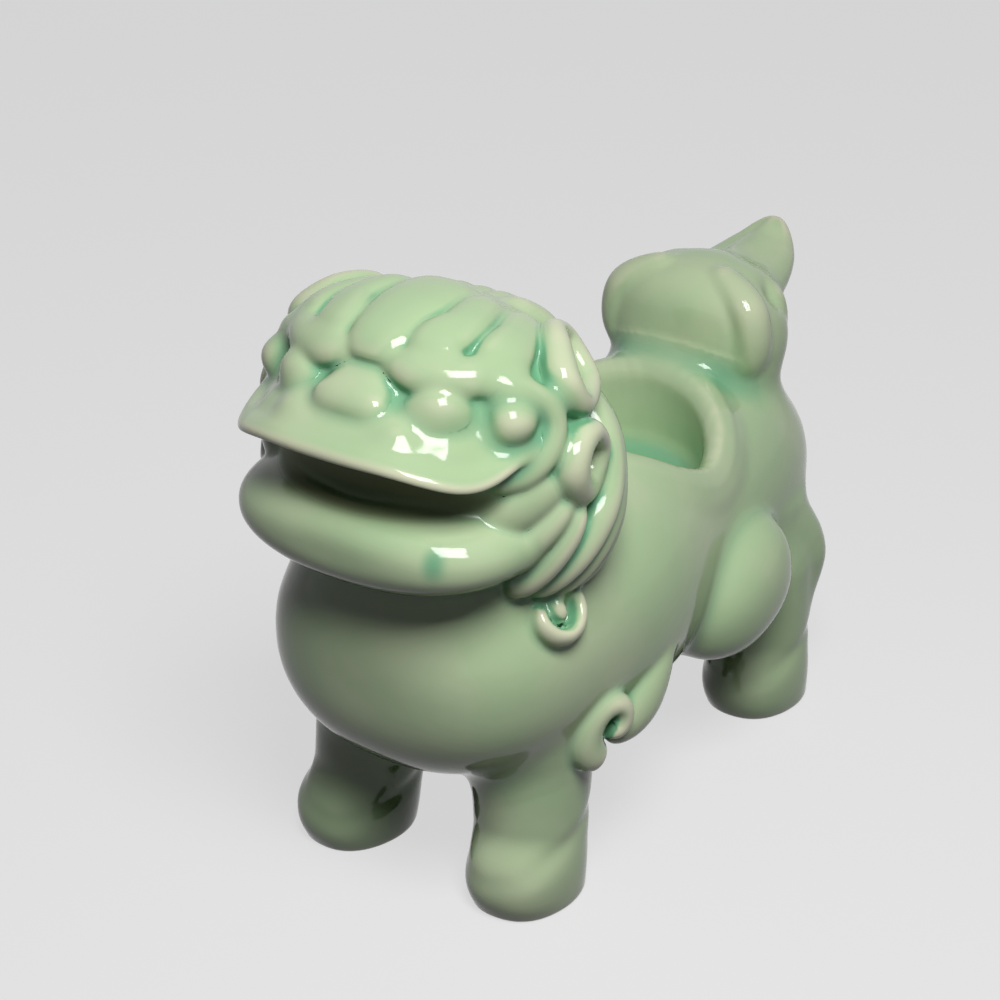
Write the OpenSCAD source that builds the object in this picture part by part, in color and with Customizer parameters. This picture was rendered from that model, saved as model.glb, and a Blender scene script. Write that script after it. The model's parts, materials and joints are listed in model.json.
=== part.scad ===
// Guardian lion candle holder: a hollow ceramic figure with a round candle well in its back.
// Millimetres. The lion faces -Y, its left side is +X, +Z is up, the origin is the middle of its footprint.
// Every body is a rounded egg, a blend of eggs, a tapered lock along a curve, or a domed boss with relief.

/* [Trunk] */
// Width of the barrel over the flanks
trunk_width = 58; // [55:1:62]
// Length of the barrel
trunk_length = 116; // [108:1:122]
// Height of the barrel from belly to back
trunk_height = 51; // [49:0.5:54]
// Height of the belly over the ground
belly_height = 22; // [19:0.5:24]
// Distance from the candle well's axis back to the rump
rump_reach = 59; // [56:1:62]
// Width of the chest
chest_width = 65; // [62:1:69]
// Length of the chest
chest_length = 78; // [72:1:84]
// Height of the chest
chest_height = 50; // [47:1:52]
// Distance from the candle well's axis forward to the chest
chest_reach = 79; // [75:1:82]
// Height of the chest's middle over the barrel's middle
chest_lift = 1.5; // [0:0.5:3]
// Fullness of the barrel and the chest, 2 is an ellipse and more is boxier
trunk_fullness = 2.8; // [2.4:0.1:3.2]
// Softness of the join between the barrel and the chest
trunk_blend = 14; // [8:1:18]
// Softness of the join at the neck
neck_blend = 8; // [4:1:12]
// Thickness of the cast wall
wall = 5; // [4:0.5:7]
// Diameter of the vent hole under the belly
vent_diameter = 8; // [5:0.5:12]

/* [Candle well] */
// Inside diameter of the well, for a standard tealight with room around it
well_diameter = 42; // [40.5:0.5:44]
// Depth of the well's floor under the top of the back
well_depth = 18; // [16:0.5:20]
// Thickness of the cup's wall and floor
cup_wall = 2.6; // [2:0.2:3.4]
// Gap between the cup and its socket in the trunk
cup_clearance = 0.3; // [0.25:0.05:0.5]
// Diameter of the drying hole under the cup
drain_diameter = 16; // [8:1:24]

/* [Head] */
// Width of the neck
neck_width = 52; // [48:1:56]
// Length of the neck from front to back
neck_length = 42; // [38:1:44]
// Distance of the neck's middle behind the skull's middle
neck_setback = 6; // [3:0.5:8]
// How far the neck's top lies under the skull's middle
neck_drop = 2; // [0:0.5:6]
// Diameter of the passage through the neck between the two cast hollows
neck_passage = 20; // [12:1:24]
// Width of the skull
head_width = 57; // [54:1:60]
// Length of the skull
head_length = 45; // [42:1:48]
// Height of the skull
head_height = 44; // [41:1:47]
// Distance of the skull's middle behind the front of the chest
head_setback = 22; // [19:1:25]
// Height of the skull's middle over the top of the back
head_lift = 21; // [19:0.5:24]
// Width of the muzzle
muzzle_width = 55; // [52:1:57]
// How far the upper lip stands in front of the skull
lip_overhang = 8.5; // [6:0.5:11]
// Height of the muzzle
muzzle_height = 14; // [12:0.5:16]
// Height of the muzzle's middle over the skull's middle
muzzle_lift = 4; // [2:0.5:6]
// Width of the lower jaw
jaw_width = 58; // [54:1:62]
// Height of the lower jaw
jaw_height = 19; // [16:1:22]
// How far the lower jaw's middle lies under the skull's middle
jaw_drop = 14.5; // [12:0.5:16]
// How far the lower lip stands back from the upper lip
underbite = 1.5; // [0:0.5:4]

/* [Face] */
// Width of the nose
nose_width = 14; // [12:0.5:17]
// How far the nose stands out
nose_bulge = 3.5; // [3:0.5:5]
// Width of an eye
eye_width = 11.5; // [9.5:0.5:13.5]
// Height of an eye
eye_height = 7.5; // [6:0.5:9]
// How far an eye bulges
eye_bulge = 3.5; // [2.5:0.5:5]
// Half width of the forelock
forelock_width = 7; // [5.5:0.5:8.5]
// Thickness of the lobes over the forehead
lobe_thickness = 3; // [2.5:0.5:4]
// Half width of a brow lobe
brow_width = 6; // [5:0.5:7.5]
// Diameter of a cheek scroll
cheek_scroll_size = 14; // [11:0.5:16]
// How far a cheek scroll stands out
cheek_scroll_bulge = 4; // [3:0.5:5.5]
// Half width of a jowl fold
jowl_width = 4; // [3.5:0.5:5.5]
// Half thickness of a jowl fold
jowl_thickness = 3.5; // [3:0.5:5]
// Height of an ear
ear_height = 17; // [14:0.5:19]
// Width of an ear
ear_width = 15; // [12:0.5:17]
// How far an ear stands out
ear_bulge = 4.5; // [3:0.5:5.5]
// Depth of the hollow in an ear
ear_hollow = 2.5; // [1:0.5:3]

/* [Mane] */
// Number of locks on each side
mane_locks = 5; // [4:1:6]
// Width of the rounded mass that the mane is combed over
mane_width = 70; // [67:1:73]
// Length of that mass from front to back
mane_length = 50; // [47:1:53]
// Height of that mass
mane_height = 64; // [60:1:68]
// Distance of its middle behind the skull's middle
mane_setback = 2; // [0:0.5:4]
// How far its middle lies under the skull's middle
mane_drop = 6; // [4:0.5:8]
// Half width of one mane lock
lock_width = 3.6; // [3:0.2:4.4]
// Half thickness of one mane lock
lock_thickness = 3.8; // [3.2:0.2:4.4]
// Diameter of the ring curl under the ear
ring_size = 15; // [12:0.5:17]
// How far the ring curl stands out
ring_bulge = 6; // [4.5:0.5:7.5]
// Diameter of the hole in the ring curl
ring_hole = 5; // [3.5:0.5:6]
// Depth of that hole
ring_hole_depth = 4.5; // [3:0.5:6]
// Diameter of the spiral that ends the mane
mane_curl_size = 17.5; // [15:0.5:19]
// How far that spiral stands out
mane_curl_bulge = 6; // [4:0.5:7]
// Half width of a nape lock
nape_width = 5; // [4.5:0.5:6]

/* [Relief] */
// Turns of every spiral
spiral_turns = 1.3; // [1:0.1:1.8]
// Depth of the spiral grooves
groove_depth = 2.4; // [1.5:0.1:3]
// How deep a sprig reaches under the middle of its seat before it is cut to it
sprig_sink = 4; // [3:0.5:6]

/* [Legs] */
// Distance between the middles of the two front paws
front_stance = 39; // [36:1:44]
// Distance between the middles of the two hind paws
hind_stance = 44; // [38:1:48]
// Distance of the front paws behind the front of the chest
front_paw_setback = 22.5; // [18:0.5:26]
// Distance of the hind paws in front of the rump
hind_paw_setback = 31; // [27:1:35]
// Width of a paw
paw_width = 19.5; // [17:0.5:22]
// Length of a paw
paw_length = 22.5; // [20:0.5:25]
// Height of a paw
paw_height = 15; // [12:0.5:18]
// Half width of a leg
leg_width = 9.5; // [8:0.5:11]
// Half length of a leg from front to back
leg_length = 10.5; // [9:0.5:12]
// Fullness of a paw, 2 is round and more is boxier
paw_fullness = 2.8; // [2.4:0.1:3.2]
// How much of a paw's round underside is cut off at the ground
paw_cut = 3; // [2:0.5:4]
// How far the top of a front leg stands behind its paw
front_lean = 8; // [5:0.5:11]
// How far the top of a hind leg stands behind its paw
hind_lean = 4; // [2:0.5:8]
// How far the top of a leg stands inside its paw
leg_tuck = 3; // [1:0.5:5]
// How far the front paws turn outward, in degrees
splay = 6; // [0:1:15]

/* [Shoulders and haunches] */
// Diameter of a shoulder spiral
shoulder_scroll_size = 19; // [16:0.5:21]
// How far a shoulder spiral stands out
shoulder_scroll_bulge = 6; // [4.5:0.5:7.5]
// Half width of a shoulder flame
flame_width = 4.5; // [3.5:0.5:6]
// Half thickness of a shoulder flame
flame_thickness = 4; // [3:0.5:5]
// Distance of a haunch's middle in front of the rump
haunch_setback = 54; // [51:1:57]
// Height of the barrel's middle over a haunch's middle
haunch_drop = 8; // [6:0.5:10]
// Distance of a haunch's middle inside the flank
haunch_sink = 3; // [1:0.5:5]
// Length of a haunch along the thigh
haunch_length = 34; // [31:1:37]
// Width of a haunch across the thigh
haunch_width = 25; // [23:1:28]
// How far a haunch stands out from the flank
haunch_bulge = 12; // [9:0.5:14]
// Slope of the thigh in degrees
haunch_slope = 18; // [10:1:28]
// Half width of a hock tuft
tuft_width = 6; // [4.5:0.5:7.5]
// Half thickness of a hock tuft
tuft_thickness = 4.5; // [3.5:0.5:5.5]

/* [Tail] */
// Width of the tail's tuft
tail_width = 37; // [34:1:40]
// Depth of the tail's tuft from front to back
tail_depth = 24; // [21:1:27]
// Height of the tail's tuft
tail_height = 24; // [21:1:27]
// Distance of the tail's middle in front of the rump
tail_setback = 21; // [18:0.5:23]
// Height of the middle of the tail's tuft over the top of the back
tail_lift = 6.5; // [5:0.5:9]
// How far the flame's point stands behind the rump
flame_overhang = 12; // [7:1:17]
// Height of the flame's point over the middle of the tail's tuft
flame_lift = 11; // [8:0.5:17]
// Half width of the tail's flame
tail_flame_width = 11; // [9:0.5:13]
// Half thickness of the tail's flame
tail_flame_thickness = 7; // [5.5:0.5:8.5]
// Half width of the tail's neck
tail_neck_width = 17.5; // [15:0.5:19]
// Half depth of the tail's neck
tail_neck_depth = 10; // [8:0.5:11]
// Half width of a tail curl
tail_curl_width = 4; // [3.5:0.5:5]
// Half thickness of a tail curl
tail_curl_thickness = 3.5; // [3:0.5:4.5]

/* [Mesh] */
// Points around the large bodies
sides = 28; // [24:4:36]
// Rings along the large bodies
rings = 16; // [14:2:20]
// Points around the small pieces
small_sides = 14; // [12:2:18]
// Rings along the small pieces
small_rings = 9; // [8:1:12]
// Points around the well and the other round holes
hole_sides = 64; // [48:8:96]

/* [Hidden] */
glaze = [0.67, 0.78, 0.67];
far = 200;

// Fullness of the eggs, lengthwise or across
cross_fullness = 2.2;
soft_fullness = 2.2;
head_fullness = 2.1;
round_fullness = 2.4;
muzzle_fullness = 2.6;
jaw_fullness = 3;
boss_fullness = 2.5;

// Angles at which the spirals start, in degrees
cheek_scroll_start = 200;
mane_curl_start = 90;
shoulder_scroll_start = 60;

// Heights over the ground
trunk_level = belly_height + trunk_height / 2;
back_level = belly_height + trunk_height;
well_floor = back_level - well_depth;
head_level = back_level + head_lift;
neck_top = head_level - neck_drop;
muzzle_level = head_level + muzzle_lift;
jaw_level = head_level - jaw_drop;
tail_level = back_level + tail_lift;
flame_level = tail_level + flame_lift;

// Distances forward or back from the well's axis
head_reach = chest_reach - head_setback;
front_paw_reach = chest_reach - front_paw_setback;
hind_paw_reach = rump_reach - hind_paw_setback;
haunch_reach = rump_reach - haunch_setback;
tail_reach = rump_reach - tail_setback;
flame_reach = rump_reach + flame_overhang;
front_end = head_reach + head_length / 2 + lip_overhang;

// Middle, half sizes, lengthwise and cross fullness of each egg, from the well's axis
trunk_egg = [[0, rump_reach - trunk_length / 2, trunk_level],
    [trunk_width, trunk_length, trunk_height] / 2, trunk_fullness, cross_fullness];
chest_egg = [[0, chest_length / 2 - chest_reach, trunk_level + chest_lift],
    [chest_width, chest_length, chest_height] / 2, trunk_fullness, cross_fullness];
neck_egg = [[0, neck_setback - head_reach, (neck_top + trunk_level) / 2],
    [neck_width, neck_length, neck_top - trunk_level] / 2, soft_fullness, cross_fullness];
head_egg = [[0, -head_reach, head_level],
    [head_width, head_length, head_height] / 2, head_fullness, head_fullness];
muzzle_length = head_length + lip_overhang - wall;
muzzle_egg = [[0, muzzle_length / 2 - front_end, muzzle_level],
    [muzzle_width, muzzle_length, muzzle_height] / 2, muzzle_fullness, cross_fullness];
jaw_egg = [[0, -head_reach - (lip_overhang - underbite) / 2, jaw_level],
    [jaw_width, head_length + lip_overhang - underbite, jaw_height] / 2, jaw_fullness, cross_fullness];
mane_egg = [[0, mane_setback - head_reach, head_level - mane_drop],
    [mane_width, mane_length, mane_height] / 2, head_fullness, head_fullness];
tail_egg = [[0, tail_reach, tail_level],
    [tail_width, tail_depth, tail_height] / 2, round_fullness, cross_fullness];
trunk_hollow = [trunk_egg[0], trunk_egg[1] - [wall, wall, wall], trunk_fullness, cross_fullness];
head_hollow = [head_egg[0], head_egg[1] - [wall, wall, wall], head_fullness, head_fullness];

// Rings of the trunk's skin, worked out on the left side and mirrored to the right
trunk_front = chest_egg[0] - [0, chest_length / 2, 0];
trunk_rump = trunk_egg[0] + [0, trunk_length / 2, 0];
trunk_along = rings + 10;
trunk_halvings = 12;
trunk_rings = [for (k = [1 : trunk_along - 1])
    let (middle = between(trunk_front, trunk_rump, (1 - cos(180 * k / trunk_along)) / 2),
        radii = [for (i = [0 : sides / 2])
            cast(middle, [sin(360 * i / sides), 0, cos(360 * i / sides)], 0, trunk_height + neck_length,
                trunk_halvings)])
    [for (i = [0 : sides - 1])
        middle + radii[min(i, sides - i)] * [sin(360 * i / sides), 0, cos(360 * i / sides)]]];

// Length from the lip to the flame's point is centred on the origin
figure_shift = (front_end - flame_reach) / 2;

// Cup and its socket, and the middles of the left paws
cup_radius = well_diameter / 2 + cup_wall;
socket_radius = cup_radius + cup_clearance;
socket_floor = well_floor - cup_wall;
front_foot = [front_stance / 2, -front_paw_reach, 0];
hind_foot = [hind_stance / 2, hind_paw_reach, 0];

// Places of the sprigs on their eggs: turn to the left, rise, and lift as a share of the half height
eye_place = [40, 25, 0];
ear_place = [108, 25, 0];
cheek_scroll_place = [70, 13, 0];
ring_place = [94, -3, 0];
mane_curl_place = [62, 23, 0];
shoulder_scroll_place = [80, -25, 0.04];
shoulder_scroll_facing = [1, -0.3, 0.1];

// Routes of the locks over their eggs, as such places
nose_route = [[0, 50, -0.08], [0, 36, 0.06], [0, 26, 0.22], [0, 18, 0.12]];
forelock_route = [[180, 66, -0.05], [180, 88, 0.05], [0, 64, 0.08], [0, 42, 0]];
inner_brow_route = [[120, 58, -0.05], [85, 64, 0.02], [45, 56, 0.06], [36, 39, 0]];
outer_brow_route = [[116, 44, -0.05], [96, 48, 0.02], [76, 43, 0.06], [64, 31, 0]];
jowl_route = [[80, 6, -0.19], [70, 2, -0.07], [56, -6, -0.07], [46, -15, -0.19]];
jowl_step = [6, -12, 0];
mane_front_route = [[122, 22, -0.18], [108, 2, -0.02], [88, -18, 0], [74, -46, -0.1]];
mane_back_route = [[140, 32, -0.18], [132, 4, -0.02], [126, -20, 0], [113, -44, -0.1]];
nape_skull = [[180, 60, 0], [180, 30, 0.18]];
nape_neck = [[180, 34, 0.18], [180, 10, 0]];
nape_step = [15, 0, 0];
flame_route = [[80, -28, 0], [92, -22, 0.12], [104, -14, 0.12], [114, -6, 0.04]];
tail_curl_route = [[74, 62, -0.05], [82, 12, 0.42], [86, -12, 0.42], [82, -56, -0.05]];

// Tail flame: shares of its lean at its root and its two bends, and of its lift up to there
flame_shares = [-0.25, 0.4, 0.8];
flame_low_share = 0.2;

// Hock tuft: shares of the trunk's height at its two bends
tuft_shares = [0.8, 0.5];

// How fast a spiral groove fades in from a boss's middle and out to its rim
groove_fade = [3, 4];

// Vector of length one along v
function unit(v) = v / norm(v);

// Radius of a rounded profile at place s between -1 and 1
function profile(s, fullness) = pow(max(0, 1 - pow(abs(s), fullness)), 1 / fullness);

// Shares of a point's way from an egg's middle along X, Y and Z, and the rounded sum of the first and last
function egg_shares(e, p) = [for (k = [0 : 2]) abs(p[k] - e[0][k]) / e[1][k]];
function egg_ring(e, w) = pow(w.x, e[3]) + pow(w.z, e[3]);

// Size of a point against an egg, given its shares: 1 on the surface
function egg_size(e, w) = pow(pow(egg_ring(e, w), e[2] / e[3]) + pow(w.y, e[2]), 1 / e[2]);

// Distance of a point from an egg's surface to first order: the size less one, over its slope
function egg_gap(e, p) =
    let (w = egg_shares(e, p), size = egg_size(e, w), lift = pow(egg_ring(e, w), e[2] / e[3] - 1),
        slope = [lift * pow(w.x, e[3] - 1) / e[1].x, pow(w.y, e[2] - 1) / e[1].y,
            lift * pow(w.z, e[3] - 1) / e[1].z])
    (size - 1) / (pow(size, 1 - e[2]) * norm(slope));

// Soft lesser of two distances
function blend(a, b, width) = min(a, b) - width / 4 * pow(max(width - abs(a - b), 0) / width, 2);

// Distance of a point from the trunk's skin: barrel and chest blended, and the neck blended into them
function trunk_gap(p) = blend(blend(egg_gap(trunk_egg, p), egg_gap(chest_egg, p), trunk_blend),
    egg_gap(neck_egg, p), neck_blend);

// Distance from a point inside the trunk along a way to its skin, by halving
function cast(start, way, low, high, halvings) =
    let (middle = (low + high) / 2)
    halvings == 0 ? middle : trunk_gap(start + middle * way) < 0 ?
        cast(start, way, middle, high, halvings - 1) : cast(start, way, low, middle, halvings - 1);

// Point of an egg's surface in the direction given by turn (0 is forward, 90 is left) and rise
function on_egg(e, turn, rise) =
    let (d = [cos(rise) * sin(turn), -cos(rise) * cos(turn), sin(rise)])
    e[0] + d / egg_size(e, egg_shares(e, e[0] + d));

// Outward direction of an egg's surface there
function out_of_egg(e, turn, rise) =
    let (p = on_egg(e, turn, rise) - e[0])
    unit([p.x / pow(e[1].x, 2), p.y / pow(e[1].y, 2), p.z / pow(e[1].z, 2)]);

// Point over an egg at a place made of turn, rise and lift
function over(e, place) = on_egg(e, place[0], place[1])
    + place[2] * e[1].z * out_of_egg(e, place[0], place[1]);

// Places between those of two routes, at a share of the way from the first to the second
function between(first, second, share) = (1 - share) * first + share * second;

// Points over an egg at several places, each moved on by the same step
function route(e, places, step = [0, 0, 0]) = [for (p = places) over(e, p + step)];

// Point of a cubic curve through its control points c at t between 0 and 1
function curve(c, t) = pow(1 - t, 3) * c[0] + 3 * pow(1 - t, 2) * t * c[1] + 3 * (1 - t) * pow(t, 2) * c[2]
    + pow(t, 3) * c[3];

// Direction of that curve
function heading(c, t) = unit(pow(1 - t, 2) * (c[1] - c[0]) + 2 * (1 - t) * t * (c[2] - c[1])
    + pow(t, 2) * (c[3] - c[2]));

// Triangles of a skin over `count` rings of `n` points, closed by one point at each end
function skin_faces(count, n) = concat(
    [for (k = [0 : count - 2]) for (i = [0 : n - 1])
        each [[k * n + i, (k + 1) * n + i, (k + 1) * n + (i + 1) % n],
            [k * n + i, (k + 1) * n + (i + 1) % n, k * n + (i + 1) % n]]],
    [for (i = [0 : n - 1]) [count * n, i, (i + 1) % n]],
    [for (i = [0 : n - 1]) [count * n + 1, (count - 1) * n + (i + 1) % n, (count - 1) * n + i]]);

// Solid skin over rings of points, with a point before the first ring and one after the last
module skin(ring_list, first, last) {
    n = len(ring_list[0]);
    points = concat([for (r = ring_list) each r], [first, last]);
    polyhedron(points, skin_faces(len(ring_list), n));
}

// Egg along Y: the profile swells from end to end, and each ring is a rounded ellipse
module egg(e, along = rings, around = sides) {
    ring_list = [for (k = [1 : along - 1])
        let (s = -cos(180 * k / along), r = profile(s, e[2]))
        [for (i = [0 : around - 1])
            let (a = 360 * i / around,
                swell = r / pow(pow(abs(sin(a)), e[3]) + pow(abs(cos(a)), e[3]), 1 / e[3]))
            e[0] + [e[1].x * swell * sin(a), e[1].y * s, e[1].z * swell * cos(a)]]];
    skin(ring_list, e[0] - [0, e[1].y, 0], e[0] + [0, e[1].y, 0]);
}

// Tapered lock along a curve: widest where t to the power of `lead` is one half, flat side along `out`,
// and thicker towards its start by the share `flare`
module lock(c, out, half_width, half_thickness, lead = 1, fullness = 2.2, flare = 0) {
    along = small_rings;
    around = small_sides;
    ring_list = [for (k = [1 : along - 1])
        let (t = (1 - cos(180 * k / along)) / 2,
            r = (1 + flare * (1 - t)) * profile(2 * pow(t, lead) - 1, fullness),
            side = unit(cross(heading(c, t), out)),
            lift = cross(side, heading(c, t)))
        [for (i = [0 : around - 1])
            let (a = 360 * i / around)
            curve(c, t) + r * (half_thickness * cos(a) * lift + half_width * sin(a) * side)]];
    skin(ring_list, c[0], c[3]);
}

// Places a piece at a point with its Z along `out` and its Y near `up`
module facing(point, out, up) {
    z = unit(out);
    x = unit(cross(up, z));
    y = cross(z, x);
    multmatrix([[x.x, y.x, z.x, point.x], [x.y, y.y, z.y, point.y], [x.z, y.z, z.z, point.z], [0, 0, 0, 1]])
        children();
}

// Domed boss on the XY plane with a spiral groove of some turns and a round dimple at [x, y, radius, depth]
module boss(width, length, height, turns = 0, groove = 0, start = 0, dimple = [0, 0, 1, 0]) {
    around = small_sides + 2;
    along = turns > 0 ? small_rings : small_rings - 3;
    ring_list = [for (k = [0 : along - 1])
        let (r = 1 - k / along)
        [for (i = [0 : around - 1])
            let (a = 360 * i / around, x = r * width / 2 * cos(a), y = r * length / 2 * sin(a),
                wave = (1 - cos(a + start - 360 * turns * r)) / 2,
                away = norm([x - dimple[0], y - dimple[1]]) / dimple[2])
            [x, y, height * profile(r, boss_fullness) - dimple[3] * exp(-away * away)
                - groove * wave * min(1, groove_fade[0] * r) * min(1, groove_fade[1] * (1 - r))]]];
    middle = height - dimple[3] * exp(-pow(norm([dimple[0], dimple[1]]) / dimple[2], 2));
    skin(ring_list, [0, 0, -sprig_sink], [0, 0, middle]);
}

// Boss set on an egg's surface, upright
module boss_on(e, place) {
    facing(over(e, place), out_of_egg(e, place[0], place[1]), [0, 0, 1]) children();
}

// Pieces of the right side, made from the left ones
module mirrored() {
    mirror([1, 0, 0]) children();
}

// Colour and place of every piece
module glazed() {
    color(glaze) translate([0, figure_shift, 0]) children();
}

// Space under the ground
module underground() {
    translate([-far / 2, -far / 2, -far]) cube([far, far, far]);
}

// Barrel, chest and neck in one skin before they are cut: rings of points where rays out of its axis leave it
module trunk_shape() {
    skin(trunk_rings, trunk_front, trunk_rump);
}

// Skull and muzzle before they are cut
module head_shape() {
    egg(head_egg);
    egg(muzzle_egg);
}

// Lower jaw before it is cut
module jaw_shape() {
    egg(jaw_egg, rings - 2);
}

// Upright round hole of a diameter from a height upwards, at a distance along Y
module hole(diameter, bottom, height = far, along = 0) {
    translate([0, along, bottom]) cylinder(h = height, d = diameter, $fn = hole_sides);
}

// Trunk: hollow barrel with a socket for the cup, a drain, a belly vent and a passage to the head
module trunk() {
    glazed() difference() {
        trunk_shape();
        difference() {
            egg(trunk_hollow, rings - 4, sides - 8);
            hole(2 * (socket_radius + wall), socket_floor - wall);
        }
        hole(2 * socket_radius, socket_floor);
        hole(drain_diameter, trunk_level);
        hole(vent_diameter, 0, trunk_level);
        hole(neck_passage, trunk_level, far, neck_egg[0].y);
    }
}

// Candle cup: revolved wall and floor, with the rim following the barrel of the back
module candle_cup() {
    glazed() intersection() {
        rotate_extrude($fn = hole_sides)
            polygon([[0, socket_floor], [cup_radius, socket_floor], [cup_radius, far],
                [well_diameter / 2, far], [well_diameter / 2, well_floor], [0, well_floor]]);
        trunk_shape();
    }
}

// Head: hollow skull seated on the neck
module head() {
    glazed() difference() {
        egg(head_egg);
        trunk_shape();
        egg(head_hollow, rings - 4, sides - 8);
    }
}

// Upper jaw: muzzle with the overhanging lip, set on the front of the skull
module upper_jaw() {
    glazed() difference() {
        egg(muzzle_egg);
        egg(head_egg);
        trunk_shape();
    }
}

// Lower jaw: chin and lower lip
module lower_jaw() {
    glazed() difference() {
        jaw_shape();
        head_shape();
        trunk_shape();
    }
}

// Nose: broad wedge from the brows to the lip
module nose_shape() {
    lock(route(head_egg, nose_route), [0, -1, 0.5], nose_width / 2, nose_bulge, lead = 1.8, fullness = 3);
}

module nose() {
    glazed() difference() {
        nose_shape();
        head_shape();
    }
}

// Eyes: almond domes under the brows
module eye_shape() {
    boss_on(head_egg, eye_place) boss(eye_width, eye_height, eye_bulge);
}

module eye() {
    difference() {
        eye_shape();
        head_shape();
        nose_shape();
    }
}

module eye_left() {
    glazed() eye();
}

module eye_right() {
    glazed() mirrored() eye();
}

// Forelock: the combed lobe in the middle of the forehead
module forelock_shape() {
    lock(route(head_egg, forelock_route), [0, -0.4, 1], forelock_width, lobe_thickness, lead = 1.2);
}

module forelock() {
    glazed() difference() {
        forelock_shape();
        head_shape();
        nose_shape();
    }
}

// Brows: two outer lobes that overhang the eye
module brow_shape() {
    lock(route(head_egg, inner_brow_route), [0.3, -0.4, 1], brow_width, lobe_thickness, lead = 1.2);
    lock(route(head_egg, outer_brow_route), [0.6, -0.4, 1], brow_width, lobe_thickness, lead = 1.2);
}

module brow() {
    difference() {
        brow_shape();
        head_shape();
        forelock_shape();
        eye_shape();
    }
}

module brow_left() {
    glazed() brow();
}

module brow_right() {
    glazed() mirrored() brow();
}

// Ears: folded lobes with a hollow
module ear_shape() {
    boss_on(head_egg, ear_place)
        boss(ear_width, ear_height, ear_bulge, dimple = [0, ear_height / 15, ear_width / 4, ear_hollow]);
}

module ear() {
    difference() {
        ear_shape();
        head_shape();
        brow_shape();
    }
}

module ear_left() {
    glazed() ear();
}

module ear_right() {
    glazed() mirrored() ear();
}

// Jowls: folds that close the mouth at the sides
module jowl_shape() {
    for (i = [0 : 1])
        lock(route(mane_egg, jowl_route, i * jowl_step), [1, -0.5, 0], jowl_width, jowl_thickness);
}

module jowl() {
    difference() {
        jowl_shape();
        head_shape();
        jaw_shape();
        mane_shape();
    }
}

module jowl_left() {
    glazed() jowl();
}

module jowl_right() {
    glazed() mirrored() jowl();
}

// Cheek scrolls: spirals that end the upper lip
module cheek_scroll_shape() {
    boss_on(head_egg, cheek_scroll_place)
        boss(cheek_scroll_size, cheek_scroll_size, cheek_scroll_bulge, spiral_turns, groove_depth,
            cheek_scroll_start);
}

module cheek_scroll() {
    difference() {
        cheek_scroll_shape();
        head_shape();
        eye_shape();
        brow_shape();
        ear_shape();
        jowl_shape();
    }
}

module cheek_scroll_left() {
    glazed() cheek_scroll();
}

module cheek_scroll_right() {
    glazed() mirrored() cheek_scroll();
}

// Mane: a fan of long locks that fall behind the cheek onto the shoulder
module mane_shape() {
    for (i = [0 : mane_locks - 1])
        lock(route(mane_egg, between(mane_front_route, mane_back_route, i / (mane_locks - 1))),
            [1, 0.2, 0.2], lock_width, lock_thickness);
}

module mane() {
    difference() {
        mane_shape();
        head_shape();
        trunk_shape();
        jaw_shape();
        ear_shape();
        brow_shape();
        mane_ring_shape();
        mane_curl_shape();
    }
}

module mane_left() {
    glazed() mane();
}

module mane_right() {
    glazed() mirrored() mane();
}

// Ring curls under the ears
module mane_ring_shape() {
    boss_on(head_egg, ring_place)
        boss(ring_size, ring_size, ring_bulge, dimple = [-ring_hole / 4, 0, ring_hole / 2, ring_hole_depth]);
}

module mane_ring() {
    difference() {
        mane_ring_shape();
        head_shape();
        ear_shape();
        cheek_scroll_shape();
        jowl_shape();
    }
}

module mane_ring_left() {
    glazed() mane_ring();
}

module mane_ring_right() {
    glazed() mirrored() mane_ring();
}

// Mane spirals on the shoulders
module mane_curl_shape() {
    boss_on(chest_egg, mane_curl_place)
        boss(mane_curl_size, mane_curl_size, mane_curl_bulge, spiral_turns, groove_depth, mane_curl_start);
}

module mane_curl() {
    difference() {
        mane_curl_shape();
        trunk_shape();
        jaw_shape();
        head_shape();
    }
}

module mane_curl_left() {
    glazed() mane_curl();
}

module mane_curl_right() {
    glazed() mirrored() mane_curl();
}

// Nape: five locks down the back of the neck
module nape_mane() {
    glazed() difference() {
        for (i = [-2 : 2])
            lock(concat(route(head_egg, nape_skull, i * nape_step),
                route(neck_egg, nape_neck, i * nape_step)), [0, 1, 0.2], nape_width, lock_thickness);
        head_shape();
        trunk_shape();
        mane_shape();
        mirrored() mane_shape();
    }
}

// Legs: a tapered column on a rounded paw, cut flat at the ground
module leg_shape(foot, lean, turn) {
    top = [foot.x - leg_tuck, foot.y + lean, trunk_level];
    knee = foot + [0, lean / 2, trunk_level / 2];
    lock([top, knee, foot + [0, leg_tuck, paw_height], foot + [0, leg_tuck, 0]], [0, -1, 0],
        leg_width, leg_length, fullness = 4, flare = 0.25);
    translate(foot) rotate([0, 0, turn])
        egg([[0, 0, (paw_height - paw_cut) / 2], [paw_width, paw_length, paw_height + paw_cut] / 2,
            paw_fullness, paw_fullness], small_rings + 2, sides - 4);
}

module leg(foot, lean, turn) {
    difference() {
        leg_shape(foot, lean, turn);
        underground();
        trunk_shape();
    }
}

module front_leg_shape() {
    leg_shape(front_foot, front_lean, splay);
}

module front_leg_left() {
    glazed() leg(front_foot, front_lean, splay);
}

module front_leg_right() {
    glazed() mirrored() leg(front_foot, front_lean, splay);
}

// Haunches: thighs on the flanks, knee forward and low
module haunch_shape() {
    translate([trunk_width / 2 - haunch_sink, haunch_reach, trunk_level - haunch_drop])
        rotate([haunch_slope, 0, 0])
            egg([[0, 0, 0], [2 * haunch_bulge, haunch_length, haunch_width] / 2, soft_fullness,
                soft_fullness], small_rings + 3, sides - 4);
}

module haunch() {
    difference() {
        haunch_shape();
        trunk_shape();
    }
}

module haunch_left() {
    glazed() haunch();
}

module haunch_right() {
    glazed() mirrored() haunch();
}

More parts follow.
